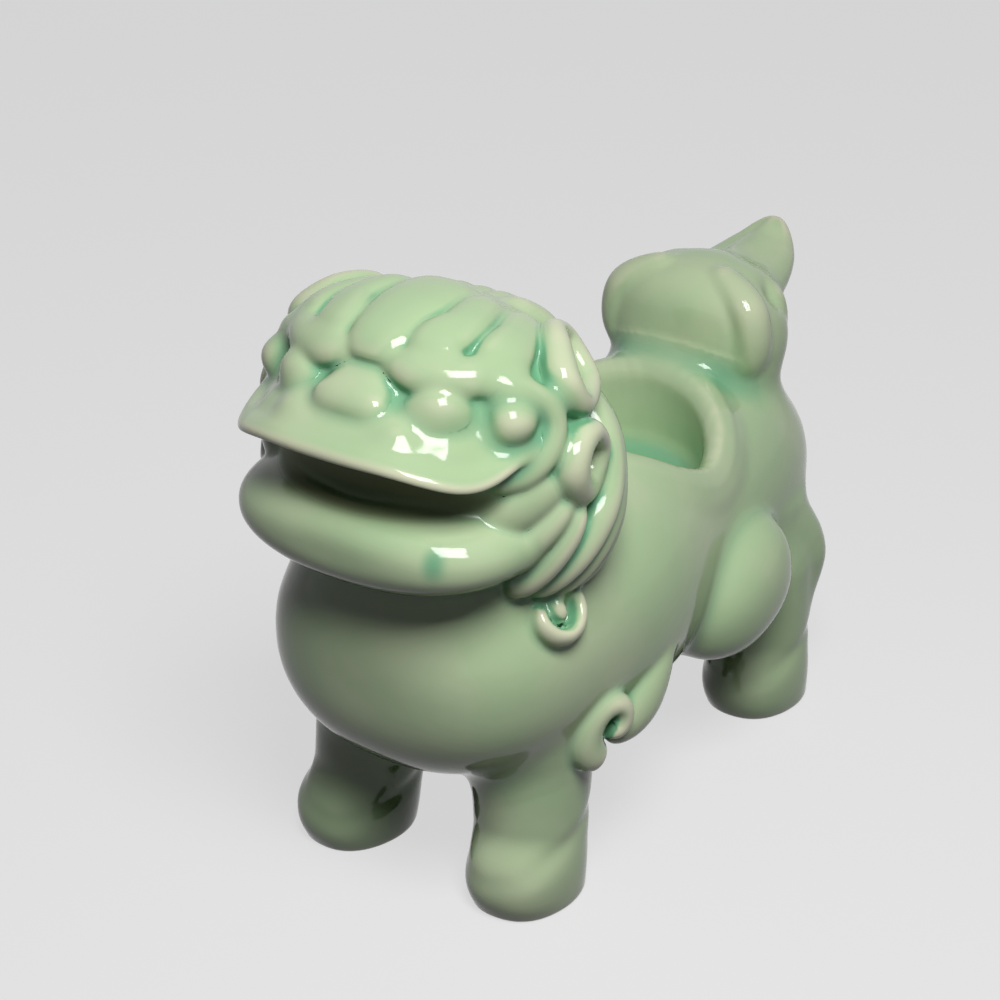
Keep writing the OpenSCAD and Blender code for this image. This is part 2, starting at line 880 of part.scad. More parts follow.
module hind_leg_shape() {
    leg_shape(hind_foot, hind_lean, splay / 2);
}

module hind_leg() {
    difference() {
        leg(hind_foot, hind_lean, splay / 2);
        haunch_shape();
    }
}

module hind_leg_left() {
    glazed() hind_leg();
}

module hind_leg_right() {
    glazed() mirrored() hind_leg();
}

// Hock tufts: pointed lobes behind the hind legs
module hock_tuft() {
    heel = hind_foot + [leg_tuck, paw_length / 2, 0];
    bends = [for (share = tuft_shares) heel + [0, tuft_thickness / 2, share * trunk_level]];
    difference() {
        lock(concat([hind_foot + [0, hind_lean, trunk_level]], bends, [heel + [0, -hind_lean, paw_height]]),
            [0.4, 1, 0.2], tuft_width, tuft_thickness, lead = 0.8);
        trunk_shape();
        haunch_shape();
        hind_leg_shape();
    }
}

module hock_tuft_left() {
    glazed() hock_tuft();
}

module hock_tuft_right() {
    glazed() mirrored() hock_tuft();
}

// Shoulder spirals over the front legs
module shoulder_scroll_shape() {
    facing(over(chest_egg, shoulder_scroll_place), shoulder_scroll_facing, [0, 0, 1])
        boss(shoulder_scroll_size, shoulder_scroll_size, shoulder_scroll_bulge, spiral_turns, groove_depth,
            shoulder_scroll_start);
}

module shoulder_scroll() {
    difference() {
        shoulder_scroll_shape();
        trunk_shape();
        front_leg_shape();
    }
}

module shoulder_scroll_left() {
    glazed() shoulder_scroll();
}

module shoulder_scroll_right() {
    glazed() mirrored() shoulder_scroll();
}

// Shoulder flames: pointed lobes behind the spirals
module shoulder_flame() {
    difference() {
        lock(route(chest_egg, flame_route), [1, -0.2, 0], flame_width, flame_thickness, lead = 0.8);
        trunk_shape();
        front_leg_shape();
        shoulder_scroll_shape();
    }
}

module shoulder_flame_left() {
    glazed() shoulder_flame();
}

module shoulder_flame_right() {
    glazed() mirrored() shoulder_flame();
}

// Tail: rounded tuft on a short neck
module tail_shape() {
    egg(tail_egg, rings - 2);
    translate([0, tail_reach, tail_level])
        lock([[0, 0, -tail_height], [0, 0, -tail_height / 2], [0, 0, -tail_height / 6], [0, 0, 0]], [0, 1, 0],
            tail_neck_width, tail_neck_depth, fullness = 3);
}

module tail() {
    glazed() difference() {
        tail_shape();
        trunk_shape();
    }
}

// Tail flame: pointed lobe that leans back
module tail_flame_shape() {
    lean = flame_reach - tail_reach;
    low = tail_level + flame_low_share * flame_lift;
    bends = [for (share = flame_shares) [0, tail_reach + share * lean, low]];
    lock(concat(bends, [[0, flame_reach, flame_level]]), [0, -0.6, 1], tail_flame_width, tail_flame_thickness,
        lead = 0.75, fullness = 2);
}

module tail_flame() {
    glazed() difference() {
        tail_flame_shape();
        tail_shape();
    }
}

// Tail curls at the sides of the tuft
module tail_curl() {
    difference() {
        lock(route(tail_egg, tail_curl_route), [1, -0.5, 0], tail_curl_width, tail_curl_thickness);
        tail_shape();
        tail_flame_shape();
        trunk_shape();
    }
}

module tail_curl_left() {
    glazed() tail_curl();
}

module tail_curl_right() {
    glazed() mirrored() tail_curl();
}

trunk();
candle_cup();
head();
upper_jaw();
lower_jaw();
nose();
eye_left();
eye_right();
forelock();
brow_left();
brow_right();
ear_left();
ear_right();
cheek_scroll_left();
cheek_scroll_right();
jowl_left();
jowl_right();
mane_left();
mane_right();
mane_ring_left();
mane_ring_right();
mane_curl_left();
mane_curl_right();
nape_mane();
front_leg_left();
front_leg_right();
hind_leg_left();
hind_leg_right();
shoulder_scroll_left();
shoulder_scroll_right();
shoulder_flame_left();
shoulder_flame_right();
haunch_left();
haunch_right();
hock_tuft_left();
hock_tuft_right();
tail();
tail_flame();
tail_curl_left();
tail_curl_right();
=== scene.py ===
"""Dresses the guardian lion candle holder: a glazed surface for each of its pieces, on a plain pale stage."""
import json
from collections import namedtuple

import bpy
import numpy as np
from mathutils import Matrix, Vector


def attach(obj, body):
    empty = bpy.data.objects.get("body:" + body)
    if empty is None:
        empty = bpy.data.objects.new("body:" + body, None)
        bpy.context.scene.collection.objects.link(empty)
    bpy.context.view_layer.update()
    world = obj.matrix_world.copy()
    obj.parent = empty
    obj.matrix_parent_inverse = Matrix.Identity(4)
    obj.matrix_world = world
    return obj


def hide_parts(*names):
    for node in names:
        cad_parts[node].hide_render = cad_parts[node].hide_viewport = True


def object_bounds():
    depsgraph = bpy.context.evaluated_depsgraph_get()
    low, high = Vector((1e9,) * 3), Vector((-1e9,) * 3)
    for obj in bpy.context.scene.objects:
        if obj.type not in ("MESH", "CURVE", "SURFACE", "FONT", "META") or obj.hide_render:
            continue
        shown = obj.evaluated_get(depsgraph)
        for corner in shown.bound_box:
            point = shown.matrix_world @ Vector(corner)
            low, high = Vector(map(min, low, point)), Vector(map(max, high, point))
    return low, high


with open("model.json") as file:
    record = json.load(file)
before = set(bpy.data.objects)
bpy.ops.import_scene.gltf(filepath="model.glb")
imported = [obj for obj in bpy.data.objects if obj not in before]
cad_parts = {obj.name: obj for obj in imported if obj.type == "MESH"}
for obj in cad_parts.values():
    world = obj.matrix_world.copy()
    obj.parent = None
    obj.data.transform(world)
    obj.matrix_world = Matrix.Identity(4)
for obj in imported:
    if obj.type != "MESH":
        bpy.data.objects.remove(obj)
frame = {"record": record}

import openvdb
from mathutils import Vector

bl_info = {
    "name": "Guardian lion candle holder",
    "version": (1, 0, 0),
    "blender": (4, 5, 0),
    "location": "View3D > Sidebar > Lion",
    "description": "Builds a celadon-glazed guardian lion with a candle well in its back",
    "category": "Object",
}

CAD_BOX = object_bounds()
BODY = "root"
GLAZE = "lion_celadon"
MM = 1000.0
MOUNTS = {mount["name"]: mount for mount in frame["record"]["mounts"]}
WELL = MOUNTS["candle_well"]
FRONT_PAW = MOUNTS["paw_sole"]["pos_m"]

# Reach of the skin's distances to each side, in millimetres
BAND = 6.5
# Depth from which a piece is lifted onto the skin: a share of the body join, and then millimetres
BODY_DEPTH = 0.7
PIECE_DEPTH = 1.6
# Share of the way to the skin that a lifted point goes
LIFT = 0.92
# Share of a path over which its direction is taken, to each side
NUDGE = 0.002
# Places of turn and rise over the skull, in degrees, of the left eye's middle, the cheek and the ear's hollow
EYE = (40, 26)
CHEEK = (71, 16)
EAR = (109, 24)

Egg = namedtuple("Egg", "middle half along across")
Shell = namedtuple("Shell", "points quads triangles")


# Settings that a user would change

def length(name, description, default):
    """Setting for one length in metres."""
    return bpy.props.FloatProperty(name=name, description=description, default=default, min=0.0,
                                   unit="LENGTH")


def triple(name, description, default):
    """Setting for a place, or for sizes along X, Y and Z, in metres."""
    return bpy.props.FloatVectorProperty(name=name, description=description, default=default, subtype="XYZ",
                                         unit="LENGTH")


def colour(name, description, default):
    """Setting for a linear colour."""
    return bpy.props.FloatVectorProperty(name=name, description=description, default=default, subtype="COLOR",
                                         min=0.0, max=1.0)


class LionForms(bpy.types.PropertyGroup):
    """Middles and sizes of the rounded bodies that the lion is built on"""
    barrel_middle: triple("Barrel middle", "Middle of the barrel of the body", (0, 0.0095, 0.0475))
    barrel_size: triple("Barrel size", "Width, length and height of the barrel", (0.058, 0.116, 0.051))
    chest_middle: triple("Chest middle", "Middle of the chest", (0, -0.0315, 0.049))
    chest_size: triple("Chest size", "Width, length and height of the chest", (0.065, 0.078, 0.050))
    neck_middle: triple("Neck middle", "Middle of the neck", (0, -0.0425, 0.06975))
    neck_size: triple("Neck size", "Width, length and height of the neck", (0.052, 0.042, 0.0445))
    skull_middle: triple("Skull middle", "Middle of the skull", (0, -0.0485, 0.094))
    skull_size: triple("Skull size", "Width, length and height of the skull", (0.057, 0.045, 0.044))
    muzzle_middle: triple("Muzzle middle", "Middle of the upper jaw", (0, -0.05525, 0.098))
    muzzle_size: triple("Muzzle size", "Width, length and height of the upper jaw", (0.055, 0.0485, 0.014))
    jaw_middle: triple("Jaw middle", "Middle of the lower jaw", (0, -0.052, 0.0795))
    jaw_size: triple("Jaw size", "Width, length and height of the lower jaw", (0.058, 0.052, 0.019))
    mane_middle: triple("Mane middle", "Middle of the rounded mass of the mane", (0, -0.0465, 0.088))
    mane_size: triple("Mane size", "Width, length and height of the mane", (0.070, 0.050, 0.064))
    tuft_middle: triple("Tail middle", "Middle of the tail's tuft", (0, 0.0465, 0.0795))
    tuft_size: triple("Tail size", "Width, length and height of the tail's tuft", (0.037, 0.024, 0.024))
    thigh_middle: triple("Haunch middle", "Middle of the left haunch", (0.026, 0.0135, 0.0395))
    thigh_size: triple("Haunch size", "Bulge, length and width of a haunch", (0.024, 0.034, 0.025))
    front_paw: triple("Front paw", "Middle of the left front paw on the ground", FRONT_PAW)
    hind_paw: triple("Hind paw", "Middle of the left hind paw on the ground", (0.022, 0.0365, 0))
    paw_size: triple("Paw size", "Width, length and height of a paw, with the part cut off at the ground",
                     (0.0195, 0.0225, 0.018))
    well_floor: length("Well floor", "Height of the candle well's floor", 0.055)
    body_join: length("Body join", "Softness of the joins between the large bodies", 0.006)
    face_join: length("Face join", "Softness of the joins around the eyes, nose and lips", 0.003)
    sprig_join: length("Sprig join", "Softness of the joins around the modelled ornaments", 0.0011)
    cell: length("Cell", "Cell of the grid that holds the distance to the skin", 0.0005)


class LionGlaze(bpy.types.PropertyGroup):
    """Colours of the celadon glaze"""
    body: colour("Glaze", "Glaze of ordinary thickness", (0.40, 0.55, 0.315))
    thin: colour("Thin glaze", "Glaze that has run off the ridges", (0.62, 0.64, 0.45))
    pooled: colour("Pooled glaze", "Glaze that has gathered in the hollows", (0.16, 0.39, 0.22))
    # Painted shade: this near-black mouth colour stands in for the shade that falls inside the mouth
    mouth: colour("Mouth", "Dull olive inside the mouth, where little glaze has reached", (0.07, 0.06, 0.025))
    clay: colour("Clay", "Bare fired clay under the paws", (0.50, 0.40, 0.30))


class LionStage(bpy.types.PropertyGroup):
    """Camera, lights and floor"""
    camera: triple("Camera", "Place of the camera", (0.2156, -0.3460, 0.2664))
    target: triple("Target", "Point that the camera looks at", (-0.008, -0.0145, 0.060))
    lens: bpy.props.FloatProperty(name="Lens", description="Focal length in millimetres on a 36 mm sensor",
                                  default=84.56, unit="CAMERA")
    lamp: triple("Lamp", "Place of the soft lamp", (0.20, -0.21, 0.46))
    lamp_size: length("Lamp size", "Side of the square lamp", 0.20)
    lamp_power: bpy.props.FloatProperty(name="Lamp power", description="Power of the lamp", default=2.4,
                                        min=0.0, unit="POWER")
    fill: bpy.props.FloatProperty(name="Fill", description="Strength of the room's own light on the lion",
                                  default=0.03, min=0.0, max=1.0, subtype="FACTOR")
    floor: colour("Floor", "Pale grey of the floor and backdrop", (0.80, 0.80, 0.80))
    bounce: colour("Bounce", "Grey of the floor for light that bounces off it", (0.03, 0.03, 0.03))


# Curves and profiles

def unit(v):
    """Vectors of length one."""
    return v / np.maximum(np.linalg.norm(v, axis=-1, keepdims=True), 1e-12)


def profile(s, fullness):
    """Rounded profile between -1 and 1: one less the power of s, taken to the inverse power."""
    return np.maximum(1.0 - np.abs(s) ** fullness, 0.0) ** (1.0 / fullness)


def smooth(x):
    """Soft step from 0 to 1: three x squared less two x cubed."""
    x = np.clip(x, 0.0, 1.0)
    return x * x * (3.0 - 2.0 * x)


def bell(x, middle, spread):
    """Bell curve of numbers round a middle: the exponential of less the square of the way over spread."""
    return np.exp(-((x - middle) / spread) ** 2)


def bell_round(p, middle, spread):
    """The same curve of points round a middle, with one spread or one for each axis."""
    return np.exp(-np.sum(((p - middle) / spread) ** 2, -1))


def eased(steps):
    """Shares between 0 and 1, closer together towards both ends: half of one less the cosine."""
    return (1.0 - np.cos(np.pi * np.arange(1, steps) / steps)) / 2.0


def upright(height):
    """Points straight above the origin at heights."""
    return np.stack([0 * height, 0 * height, height], -1)


def cubic(a, b, c, d, f):
    """Cubic from b to c with slopes half of a to c and half of b to d, at the share f of the way."""
    f = f[:, None]
    square = 2 * a - 5 * b + 4 * c - d
    cube = 3 * b - a - 3 * c + d
    return 0.5 * (2 * b + (c - a) * f + square * f ** 2 + cube * f ** 3)


def curve(points, t):
    """Smooth curve through points at t between 0 and 1: a cubic for each span."""
    points = np.asarray(points, float)
    padded = np.concatenate([[2 * points[0] - points[1]], points, [2 * points[-1] - points[-2]]])
    place = np.clip(t, 0.0, 1.0) * (len(points) - 1)
    span = np.minimum(place.astype(int), len(points) - 2)
    return cubic(padded[span], padded[span + 1], padded[span + 2], padded[span + 3], place - span)


def loop(points, t):
    """The same curve closed on itself."""
    points = np.asarray(points, float)
    place = np.mod(t, 1.0) * len(points)
    span = place.astype(int) % len(points)
    corners = [np.take(points, span + k, axis=0, mode="wrap") for k in (-1, 0, 1, 2)]
    return cubic(*corners, place - np.floor(place))


def ramp(values, t):
    """Values spread evenly from 0 to 1, read at t."""
    values = np.atleast_1d(values)
    return np.interp(t, np.linspace(0.0, 1.0, len(values)), values)


def blend(a, b, width):
    """Soft lesser of two distances: the lesser, less a quarter of the width where both are alike."""
    h = np.maximum(width - np.abs(a - b), 0.0) / width
    return np.minimum(a, b) - 0.25 * width * h * h


# Eggs: the rounded bodies that carry everything

def egg_measure(egg, p):
    """Size of p against the egg, 1 on its surface, and that measure's slope.

    The width and height shares are summed to the power across, and that sum and the length share to the power
    along.
    """
    q = (p - egg.middle) / egg.half
    w = np.maximum(np.abs(q), 1e-9)
    ring = w[..., 0] ** egg.across + w[..., 2] ** egg.across
    size = (ring ** (egg.along / egg.across) + w[..., 1] ** egg.along) ** (1.0 / egg.along)
    common = size ** (1.0 - egg.along)
    lift = ring ** (egg.along / egg.across - 1.0)
    slope = np.stack([common * lift * w[..., 0] ** (egg.across - 1.0),
                      common * w[..., 1] ** (egg.along - 1.0),
                      common * lift * w[..., 2] ** (egg.across - 1.0)], -1)
    return size, slope * np.sign(q) / egg.half


def egg_gap(egg, p):
    """Distance of p from the egg's surface to first order: the measure less one, over its slope."""
    size, slope = egg_measure(egg, p)
    return (size - 1.0) / np.maximum(np.linalg.norm(slope, axis=-1), 1e-6)


def over(egg, places):
    """Points at places of turn to the left, rise and lift over an egg, and the directions out of it there."""
    turn, rise, lift = np.asarray(places, float).T
    turn, rise = np.radians(turn), np.radians(rise)
    way = np.stack([np.cos(rise) * np.sin(turn), -np.cos(rise) * np.cos(turn), np.sin(rise)], -1)
    size, slope = egg_measure(egg, egg.middle + way)
    out = unit(slope)
    return egg.middle + way / size[:, None] + lift[:, None] * out, out


def over_both(first, places, second, more):
    """Points and directions over one egg and then over another."""
    return [np.concatenate(pair) for pair in zip(over(first, places), over(second, more))]


# Shells: closed surfaces on a grid of two parameters

def outward(shell):
    """Turns the faces so that they point out: the volume that they enclose is positive."""
    tri = np.concatenate([shell.triangles, shell.quads[:, [0, 1, 2]], shell.quads[:, [0, 2, 3]]])
    a, b, c = (shell.points[tri[:, k]] for k in range(3))
    if np.einsum("ij,ij->i", a, np.cross(b, c)).sum() < 0:
        return Shell(shell.points, shell.quads[:, ::-1], shell.triangles[:, ::-1])
    return shell


def skin(rings, first, last):
    """Closed shell over rows of points, with one point before the first row and one after the last."""
    rows, around = rings.shape[:2]
    row = np.arange(rows - 1)[:, None] * around
    here = np.arange(around)
    there = (here + 1) % around
    quads = np.stack([row + here, row + around + here, row + around + there, row + there], -1).reshape(-1, 4)
    end = (rows - 1) * around
    caps = np.concatenate([np.stack([np.full(around, rows * around), here, there], -1),
                           np.stack([np.full(around, rows * around + 1), end + there, end + here], -1)])
    return outward(Shell(np.concatenate([rings.reshape(-1, 3), [first, last]]), quads, caps))


def hoop(rings):
    """Closed shell over rows of points that come back to the first row."""
    rows, around = rings.shape[:2]
    row = np.arange(rows)[:, None] * around
    ahead = (row + around) % (rows * around)
    here = np.arange(around)
    there = (here + 1) % around
    quads = np.stack([row + here, ahead + here, ahead + there, row + there], -1)
    return outward(Shell(rings.reshape(-1, 3), quads.reshape(-1, 4), np.zeros((0, 3), int)))


def mirrored(shell):
    """The same shell on the other side of the middle plane."""
    return outward(Shell(shell.points * [-1, 1, 1], shell.quads, shell.triangles))


def circle(around):
    """Cosine and sine of evenly spread angles, as columns."""
    angle = np.arange(around) * 2 * np.pi / around
    return np.cos(angle)[:, None], np.sin(angle)[:, None]


def egg_shell(egg, rows=160, around=160):
    """Egg along Y: the profile swells from end to end, and each ring is a rounded ellipse."""
    s = -np.cos(np.pi * np.arange(1, rows) / rows)[:, None]
    cos, sin = (v[:, 0] for v in circle(around))
    oval = (np.abs(sin) ** egg.across + np.abs(cos) ** egg.across) ** (1.0 / egg.across)
    swell = profile(s, egg.along) / oval
    rings = np.stack([egg.half[0] * swell * sin, egg.half[1] * s + 0 * sin, egg.half[2] * swell * cos], -1)
    tip = np.array([0, egg.half[1], 0])
    return skin(egg.middle + rings, egg.middle - tip, egg.middle + tip)


def roll(path, outs, width, thickness, lead=1.0, tip=2.2, square=2.0, steps=88, around=36, crease=None):
    """Tapered roll: ellipses of half width and half thickness carried along the smooth curve through path.

    Their size follows the rounded profile, fullest where t to the power lead is one half. The flat side faces
    outs. The ellipse grows boxier with square over 2. A crease is a place across, a spread and a depth of two
    grooves pressed into the outer side.
    """
    t = eased(steps)
    ahead = unit(curve(path, t + NUDGE) - curve(path, t - NUDGE))
    side = unit(np.cross(ahead, curve(np.broadcast_to(outs, np.shape(path)), t)))
    lift = np.cross(side, ahead)
    size = profile(2.0 * t ** lead - 1.0, tip)
    wide = (size * ramp(width, t))[:, None, None]
    high = (size * ramp(thickness, t))[:, None, None]
    cos, sin = (np.sign(v) * np.abs(v) ** (2.0 / square) for v in circle(around))
    if crease:
        place, spread, depth = crease
        cos = cos - depth * bell(np.abs(sin), place, spread) * (cos > 0)
    rings = curve(path, t)[:, None] + high * cos * lift[:, None] + wide * sin * side[:, None]
    return skin(rings, path[0], path[-1])


def laid(egg, places, width, thickness, **more):
    """Tapered roll laid over an egg, with its flat side out."""
    return roll(*over(egg, places), width, thickness, **more)


def ring_roll(path, outs, width, thickness, steps=96, around=32):
    """Roll that closes on itself: ellipses carried round the closed curve through path."""
    t = np.arange(steps) / steps
    ahead = unit(loop(path, t + NUDGE) - loop(path, t - NUDGE))
    side = unit(np.cross(ahead, loop(outs, t)))
    lift = np.cross(side, ahead)
    wide = loop(np.reshape(width, (-1, 1)), t)[:, None]
    high = loop(np.reshape(thickness, (-1, 1)), t)[:, None]
    cos, sin = circle(around)
    return hoop(loop(path, t)[:, None] + high * cos * lift[:, None] + wide * sin * side[:, None])


def cast(start, way, gap, reach):
    """Distance along each way at which the gap turns from negative to positive, by halving."""
    low = np.zeros(way.shape[:-1])
    high = np.full(way.shape[:-1], reach)
    for _ in range(30):
        mid = (low + high) / 2.0
        inside = gap(start + mid[..., None] * way) < 0
        low = np.where(inside, mid, low)
        high = np.where(inside, high, mid)
    return (low + high) / 2.0


def solved_rings(axis, across, up, gap, reach, around):
    """Rings round an axis: each point is where a ray out of the axis leaves the form."""
    cos, sin = circle(around)
    way = np.broadcast_to(cos * np.array(up, float) + sin * np.array(across, float), (len(axis), around, 3))
    return axis[:, None] + cast(axis[:, None], way, gap, reach)[..., None] * way


def pressed(shell, egg, place, radius, depth):
    """Shell with a soft hollow at a place on its egg: a bell curve of a radius and depth."""
    middle, out = over(egg, [(*place, 0)])
    fall = bell_round(shell.points, middle, radius)[:, None]
    return shell._replace(points=shell.points - depth * fall * out)


# Forms of the lion, in millimetres

class Lion:
    """Eggs and places worked out from the settings."""

    def __init__(self, forms):
        fullness = {"barrel": (2.8, 2.2), "chest": (2.8, 2.2), "neck": (2.2, 2.2), "skull": (2.1, 2.1),
                    "muzzle": (2.6, 2.2), "jaw": (3.0, 2.2), "mane": (2.1, 2.1), "tuft": (2.4, 2.2),
                    "thigh": (2.2, 2.2)}
        for name, (along, across) in fullness.items():
            middle = MM * np.array(getattr(forms, name + "_middle"))
            half = MM / 2 * np.array(getattr(forms, name + "_size"))
            setattr(self, name, Egg(middle, half, along, across))
        self.front_paw = MM * np.array(forms.front_paw)
        self.hind_paw = MM * np.array(forms.hind_paw)
        self.paw_half = MM / 2 * np.array(forms.paw_size)
        self.well_axis = MM * np.array(WELL["pos_m"]) * [1, 1, 0]
        self.well_radius = WELL["dims"]["r_mm"]
        self.well_floor = MM * forms.well_floor

    def back_gap(self, p):
        """Distance from the barrel and chest, blended where they meet."""
        return blend(egg_gap(self.barrel, p), egg_gap(self.chest, p), 14.0)

    def back_height(self, x, y):
        """Height of the back over a point of the ground."""
        start = np.stack([x, y, np.full(x.shape, self.barrel.middle[2])], -1)
        way = np.broadcast_to([0.0, 0.0, 1.0], start.shape)
        return start[..., 2] + cast(start, way, self.back_gap, 40.0)


# Shapes of the pieces: each gives the shells of one piece, of the left one where there are two

def trunk(lion):
    """Barrel, chest and neck in one skin, with a dish under the candle cup."""
    front = lion.chest.middle - [0, lion.chest.half[1], 0]
    rump = lion.barrel.middle + [0, lion.barrel.half[1], 0]
    margin, edge, depth = 2.6, 1.4, 3.5
    axis = front + eased(240)[:, None] * (rump - front)

    def gap(p):
        return blend(lion.back_gap(p), egg_gap(lion.neck, p), 8.0)

    rings = solved_rings(axis, (1, 0, 0), (0, 0, 1), gap, 60.0, 240)
    away = np.hypot(*np.moveaxis(rings - lion.well_axis, -1, 0)[:2])
    dish = smooth((lion.well_radius + margin - away) / edge) * (rings[..., 2] > lion.barrel.middle[2])
    rings[..., 2] += dish * (lion.well_floor - depth - rings[..., 2])
    return [skin(rings, front, rump)]


def candle_cup(lion):
    """Cup turned round the well's axis: floor, filleted wall, and a soft rim that follows the back."""
    around, rim, corner, base = 256, 2.2, 5.0, 2.6
    cos, sin = (v[:, 0] for v in circle(around))
    wall, floor = lion.well_radius, lion.well_floor
    edge = wall + rim

    def ring(radius, height):
        return np.stack([radius * cos, radius * sin, height + 0 * cos], -1)

    def top(radius):
        return lion.back_height(lion.well_axis[0] + radius * cos, lion.well_axis[1] + radius * sin)

    quarter = np.linspace(0.0, np.pi / 2, 14)[1:]
    brow = top(edge) - rim
    rows = [ring(r, floor) for r in np.linspace(0.5, wall - corner, 24)]
    rows += [ring(wall - corner + corner * np.sin(a), floor + corner - corner * np.cos(a)) for a in quarter]
    rows += [ring(wall, floor + corner + f * (brow - floor - corner)) for f in np.linspace(0.05, 1.0, 16)]
    rows += [ring(edge - rim * np.cos(a), brow + rim * np.sin(a)) for a in quarter]
    rows += [ring(r, top(r)) for r in np.linspace(edge + 0.3, edge + 1.8, 6)]
    rows += [ring(edge + out, top(edge + out) - drop) for out, drop in ((2.2, 1.6), (1.2, 3.0), (0.2, 4.0))]
    rows += [ring(r, floor - base) for r in np.linspace(edge, 1.0, 12)]
    middle = lion.well_axis + [0, 0, floor]
    return [skin(np.array(rows) + lion.well_axis, middle, middle - [0, 0, base])]


def head(lion):
    """Skull with hollows for the eyes, inside the cheek scrolls and in the ears."""
    hollows = ((EYE, 6.5, 1.4), (CHEEK, 3.0, 1.2), (EAR, 4.0, 1.4))
    shell = egg_shell(lion.skull, 200, 200)
    for side in (-1, 1):
        for (turn, rise), radius, depth in hollows:
            shell = pressed(shell, lion.skull, (turn * side, rise), radius, depth)
    return [shell]


def upper_jaw(lion):
    """Muzzle: an egg flattened below, whose rim is lowered to a sloping lip, most of all at its corners.

    A low pad swells under each nostril and each eye as a bell curve round a place, along a direction.
    """
    flat, slope, droop, swell = 0.72, 0.4, 3.6, 1.7
    corner, spread = 60.0, 22.0
    nostril = (9.8, -16.0, 2.6), (0.6, -0.4, 0.7), 4.0
    pad = (18.6, -12.4, 1.4), (0.7, -0.4, 0.6), (5.4, 5.0, 4.4)
    lip = egg_shell(lion.muzzle, 220, 240)
    p = lip.points
    away = p - lion.muzzle.middle
    turn = np.degrees(np.arctan2(np.abs(away[:, 0]), -away[:, 1]))
    reach = np.hypot(away[:, 0] / lion.muzzle.half[0], away[:, 1] / lion.muzzle.half[1])
    p[:, 2] -= flat * np.minimum(away[:, 2], 0.0)
    p[:, 2] -= slope * smooth((reach - 0.6) / 0.35) * np.maximum(away[:, 2], 0.0)
    p[:, 2] -= droop * smooth((reach - 0.55) / 0.4) * bell(turn, corner, spread)
    for place, out, radius in (nostril, pad):
        for side in ((1, 1, 1), (-1, 1, 1)):
            fall = bell_round(p - lion.muzzle.middle, np.multiply(place, side), radius)[:, None]
            p += swell * fall * np.multiply(out, side)
    return [lip]


def lower_jaw(lion):
    """Chin and lower lip: an egg sunk behind the lip, by a soft step inside an oval, for the open mouth."""
    half_width, half_length, depth = 22.0, 21.0, 6.0
    shell = egg_shell(lion.jaw, 180, 200)
    p = shell.points
    inside = np.hypot(p[:, 0] / half_width, (p[:, 1] - lion.jaw.middle[1]) / half_length)
    p[:, 2] -= depth * smooth((1.0 - inside) / 0.35) * (p[:, 2] > lion.jaw.middle[2])
    return [shell]


def nose(lion):
    """Wedge that rises out of the bridge between the brows and widens down to a blunt front edge."""
    return [laid(lion.skull, [(0, 45, -3.2), (0, 39, -2.2), (0, 33, -0.6), (0, 27, 1.6), (0, 21, 2.6)],
                 (2.6, 4.0, 5.4, 6.6, 6.6), 2.3, tip=4.0, square=2.4, around=64)]


def eye(lion):
    """Almond ball with a shallow pupil."""
    ball = laid(lion.skull, [(28, 24, -0.8), (*EYE, 0.4), (52, 24, -0.8)], 3.6, 2.7, steps=96, around=72)
    return [pressed(ball, lion.skull, EYE, 1.6, 0.5)]


def forelock(lion):
    """Broad combed lobe in the middle of the forehead."""
    return [laid(lion.skull, [(180, 58, -2.4), (180, 78, -1.2), (0, 80, -0.8), (0, 62, -0.2), (0, 52, 0.2),
                              (0, 43, -0.2)],
                 (5.4, 6.4, 6.6, 6.0, 5.6, 5.4), 2.8, tip=5.0, square=2.3, steps=120, around=72)]


def brow(lion):
    """Two combed lobes, and the one low edge in which they overhang the eye."""
    lobe = {"tip": 5.0, "square": 2.3, "steps": 120, "around": 64}
    inner = laid(lion.skull, [(130, 58, -2.4), (104, 64, -1.2), (66, 59, -0.4), (43, 52, 0.2), (37, 40, 0.0)],
                 (3.5, 3.7, 4.2, 4.7, 5.1), 2.8, **lobe)
    outer = laid(lion.skull, [(128, 42, -2.4), (112, 46, -1.2), (91, 44, -0.4), (76, 40, 0.2), (66, 33, 0.0)],
                 (3.3, 3.6, 4.0, 4.7, 5.2), 2.7, **lobe)
    edge = laid(lion.skull, [(8, 46, -1.0), (20, 44, 0.0), (34, 40, 0.3), (50, 37, 0.3), (66, 35, 0.1),
                             (78, 32, -1.2)],
                (2.4, 3.4, 3.8, 3.6, 2.6), (2.4, 2.7, 2.7, 2.5), tip=2.6, steps=120, around=48)
    return [inner, outer, edge]


def ear(lion):
    """Folded leaf round a narrow hollow, its front fold the broader."""
    path, out = over(lion.skull, [(98, 14, 1.4), (92, 23, 2.0), (101, 33, 1.8), (115, 36, 1.4),
                                  (123, 29, 1.4), (115, 16, 1.4)])
    return [ring_roll(path, out, (2.2, 3.0, 2.8, 2.4, 2.2, 2.2), (2.6, 3.2, 3.0, 2.6, 2.4, 2.4))]


def cheek_scroll(lion):
    """End of the upper lip: a low ridge that climbs the cheek and turns over a ball."""
    ridge = laid(lion.skull, [(60, -4, 0.0), (70, -2, 0.6), (79, 4, 0.8), (83, 12, 0.8), (82, 19, 1.0),
                              (77, 25, 1.0), (70, 28, 0.6), (63, 28, -0.8)],
                 (1.8, 1.9, 2.0, 2.1, 2.0), (1.8, 1.9, 2.0, 2.0, 1.9), tip=5.0, steps=120)
    return [ridge, laid(lion.skull, [(69, 23, -0.4), (68, 17.5, 0.8), (68, 12, -0.4)], 3.5, 2.7)]


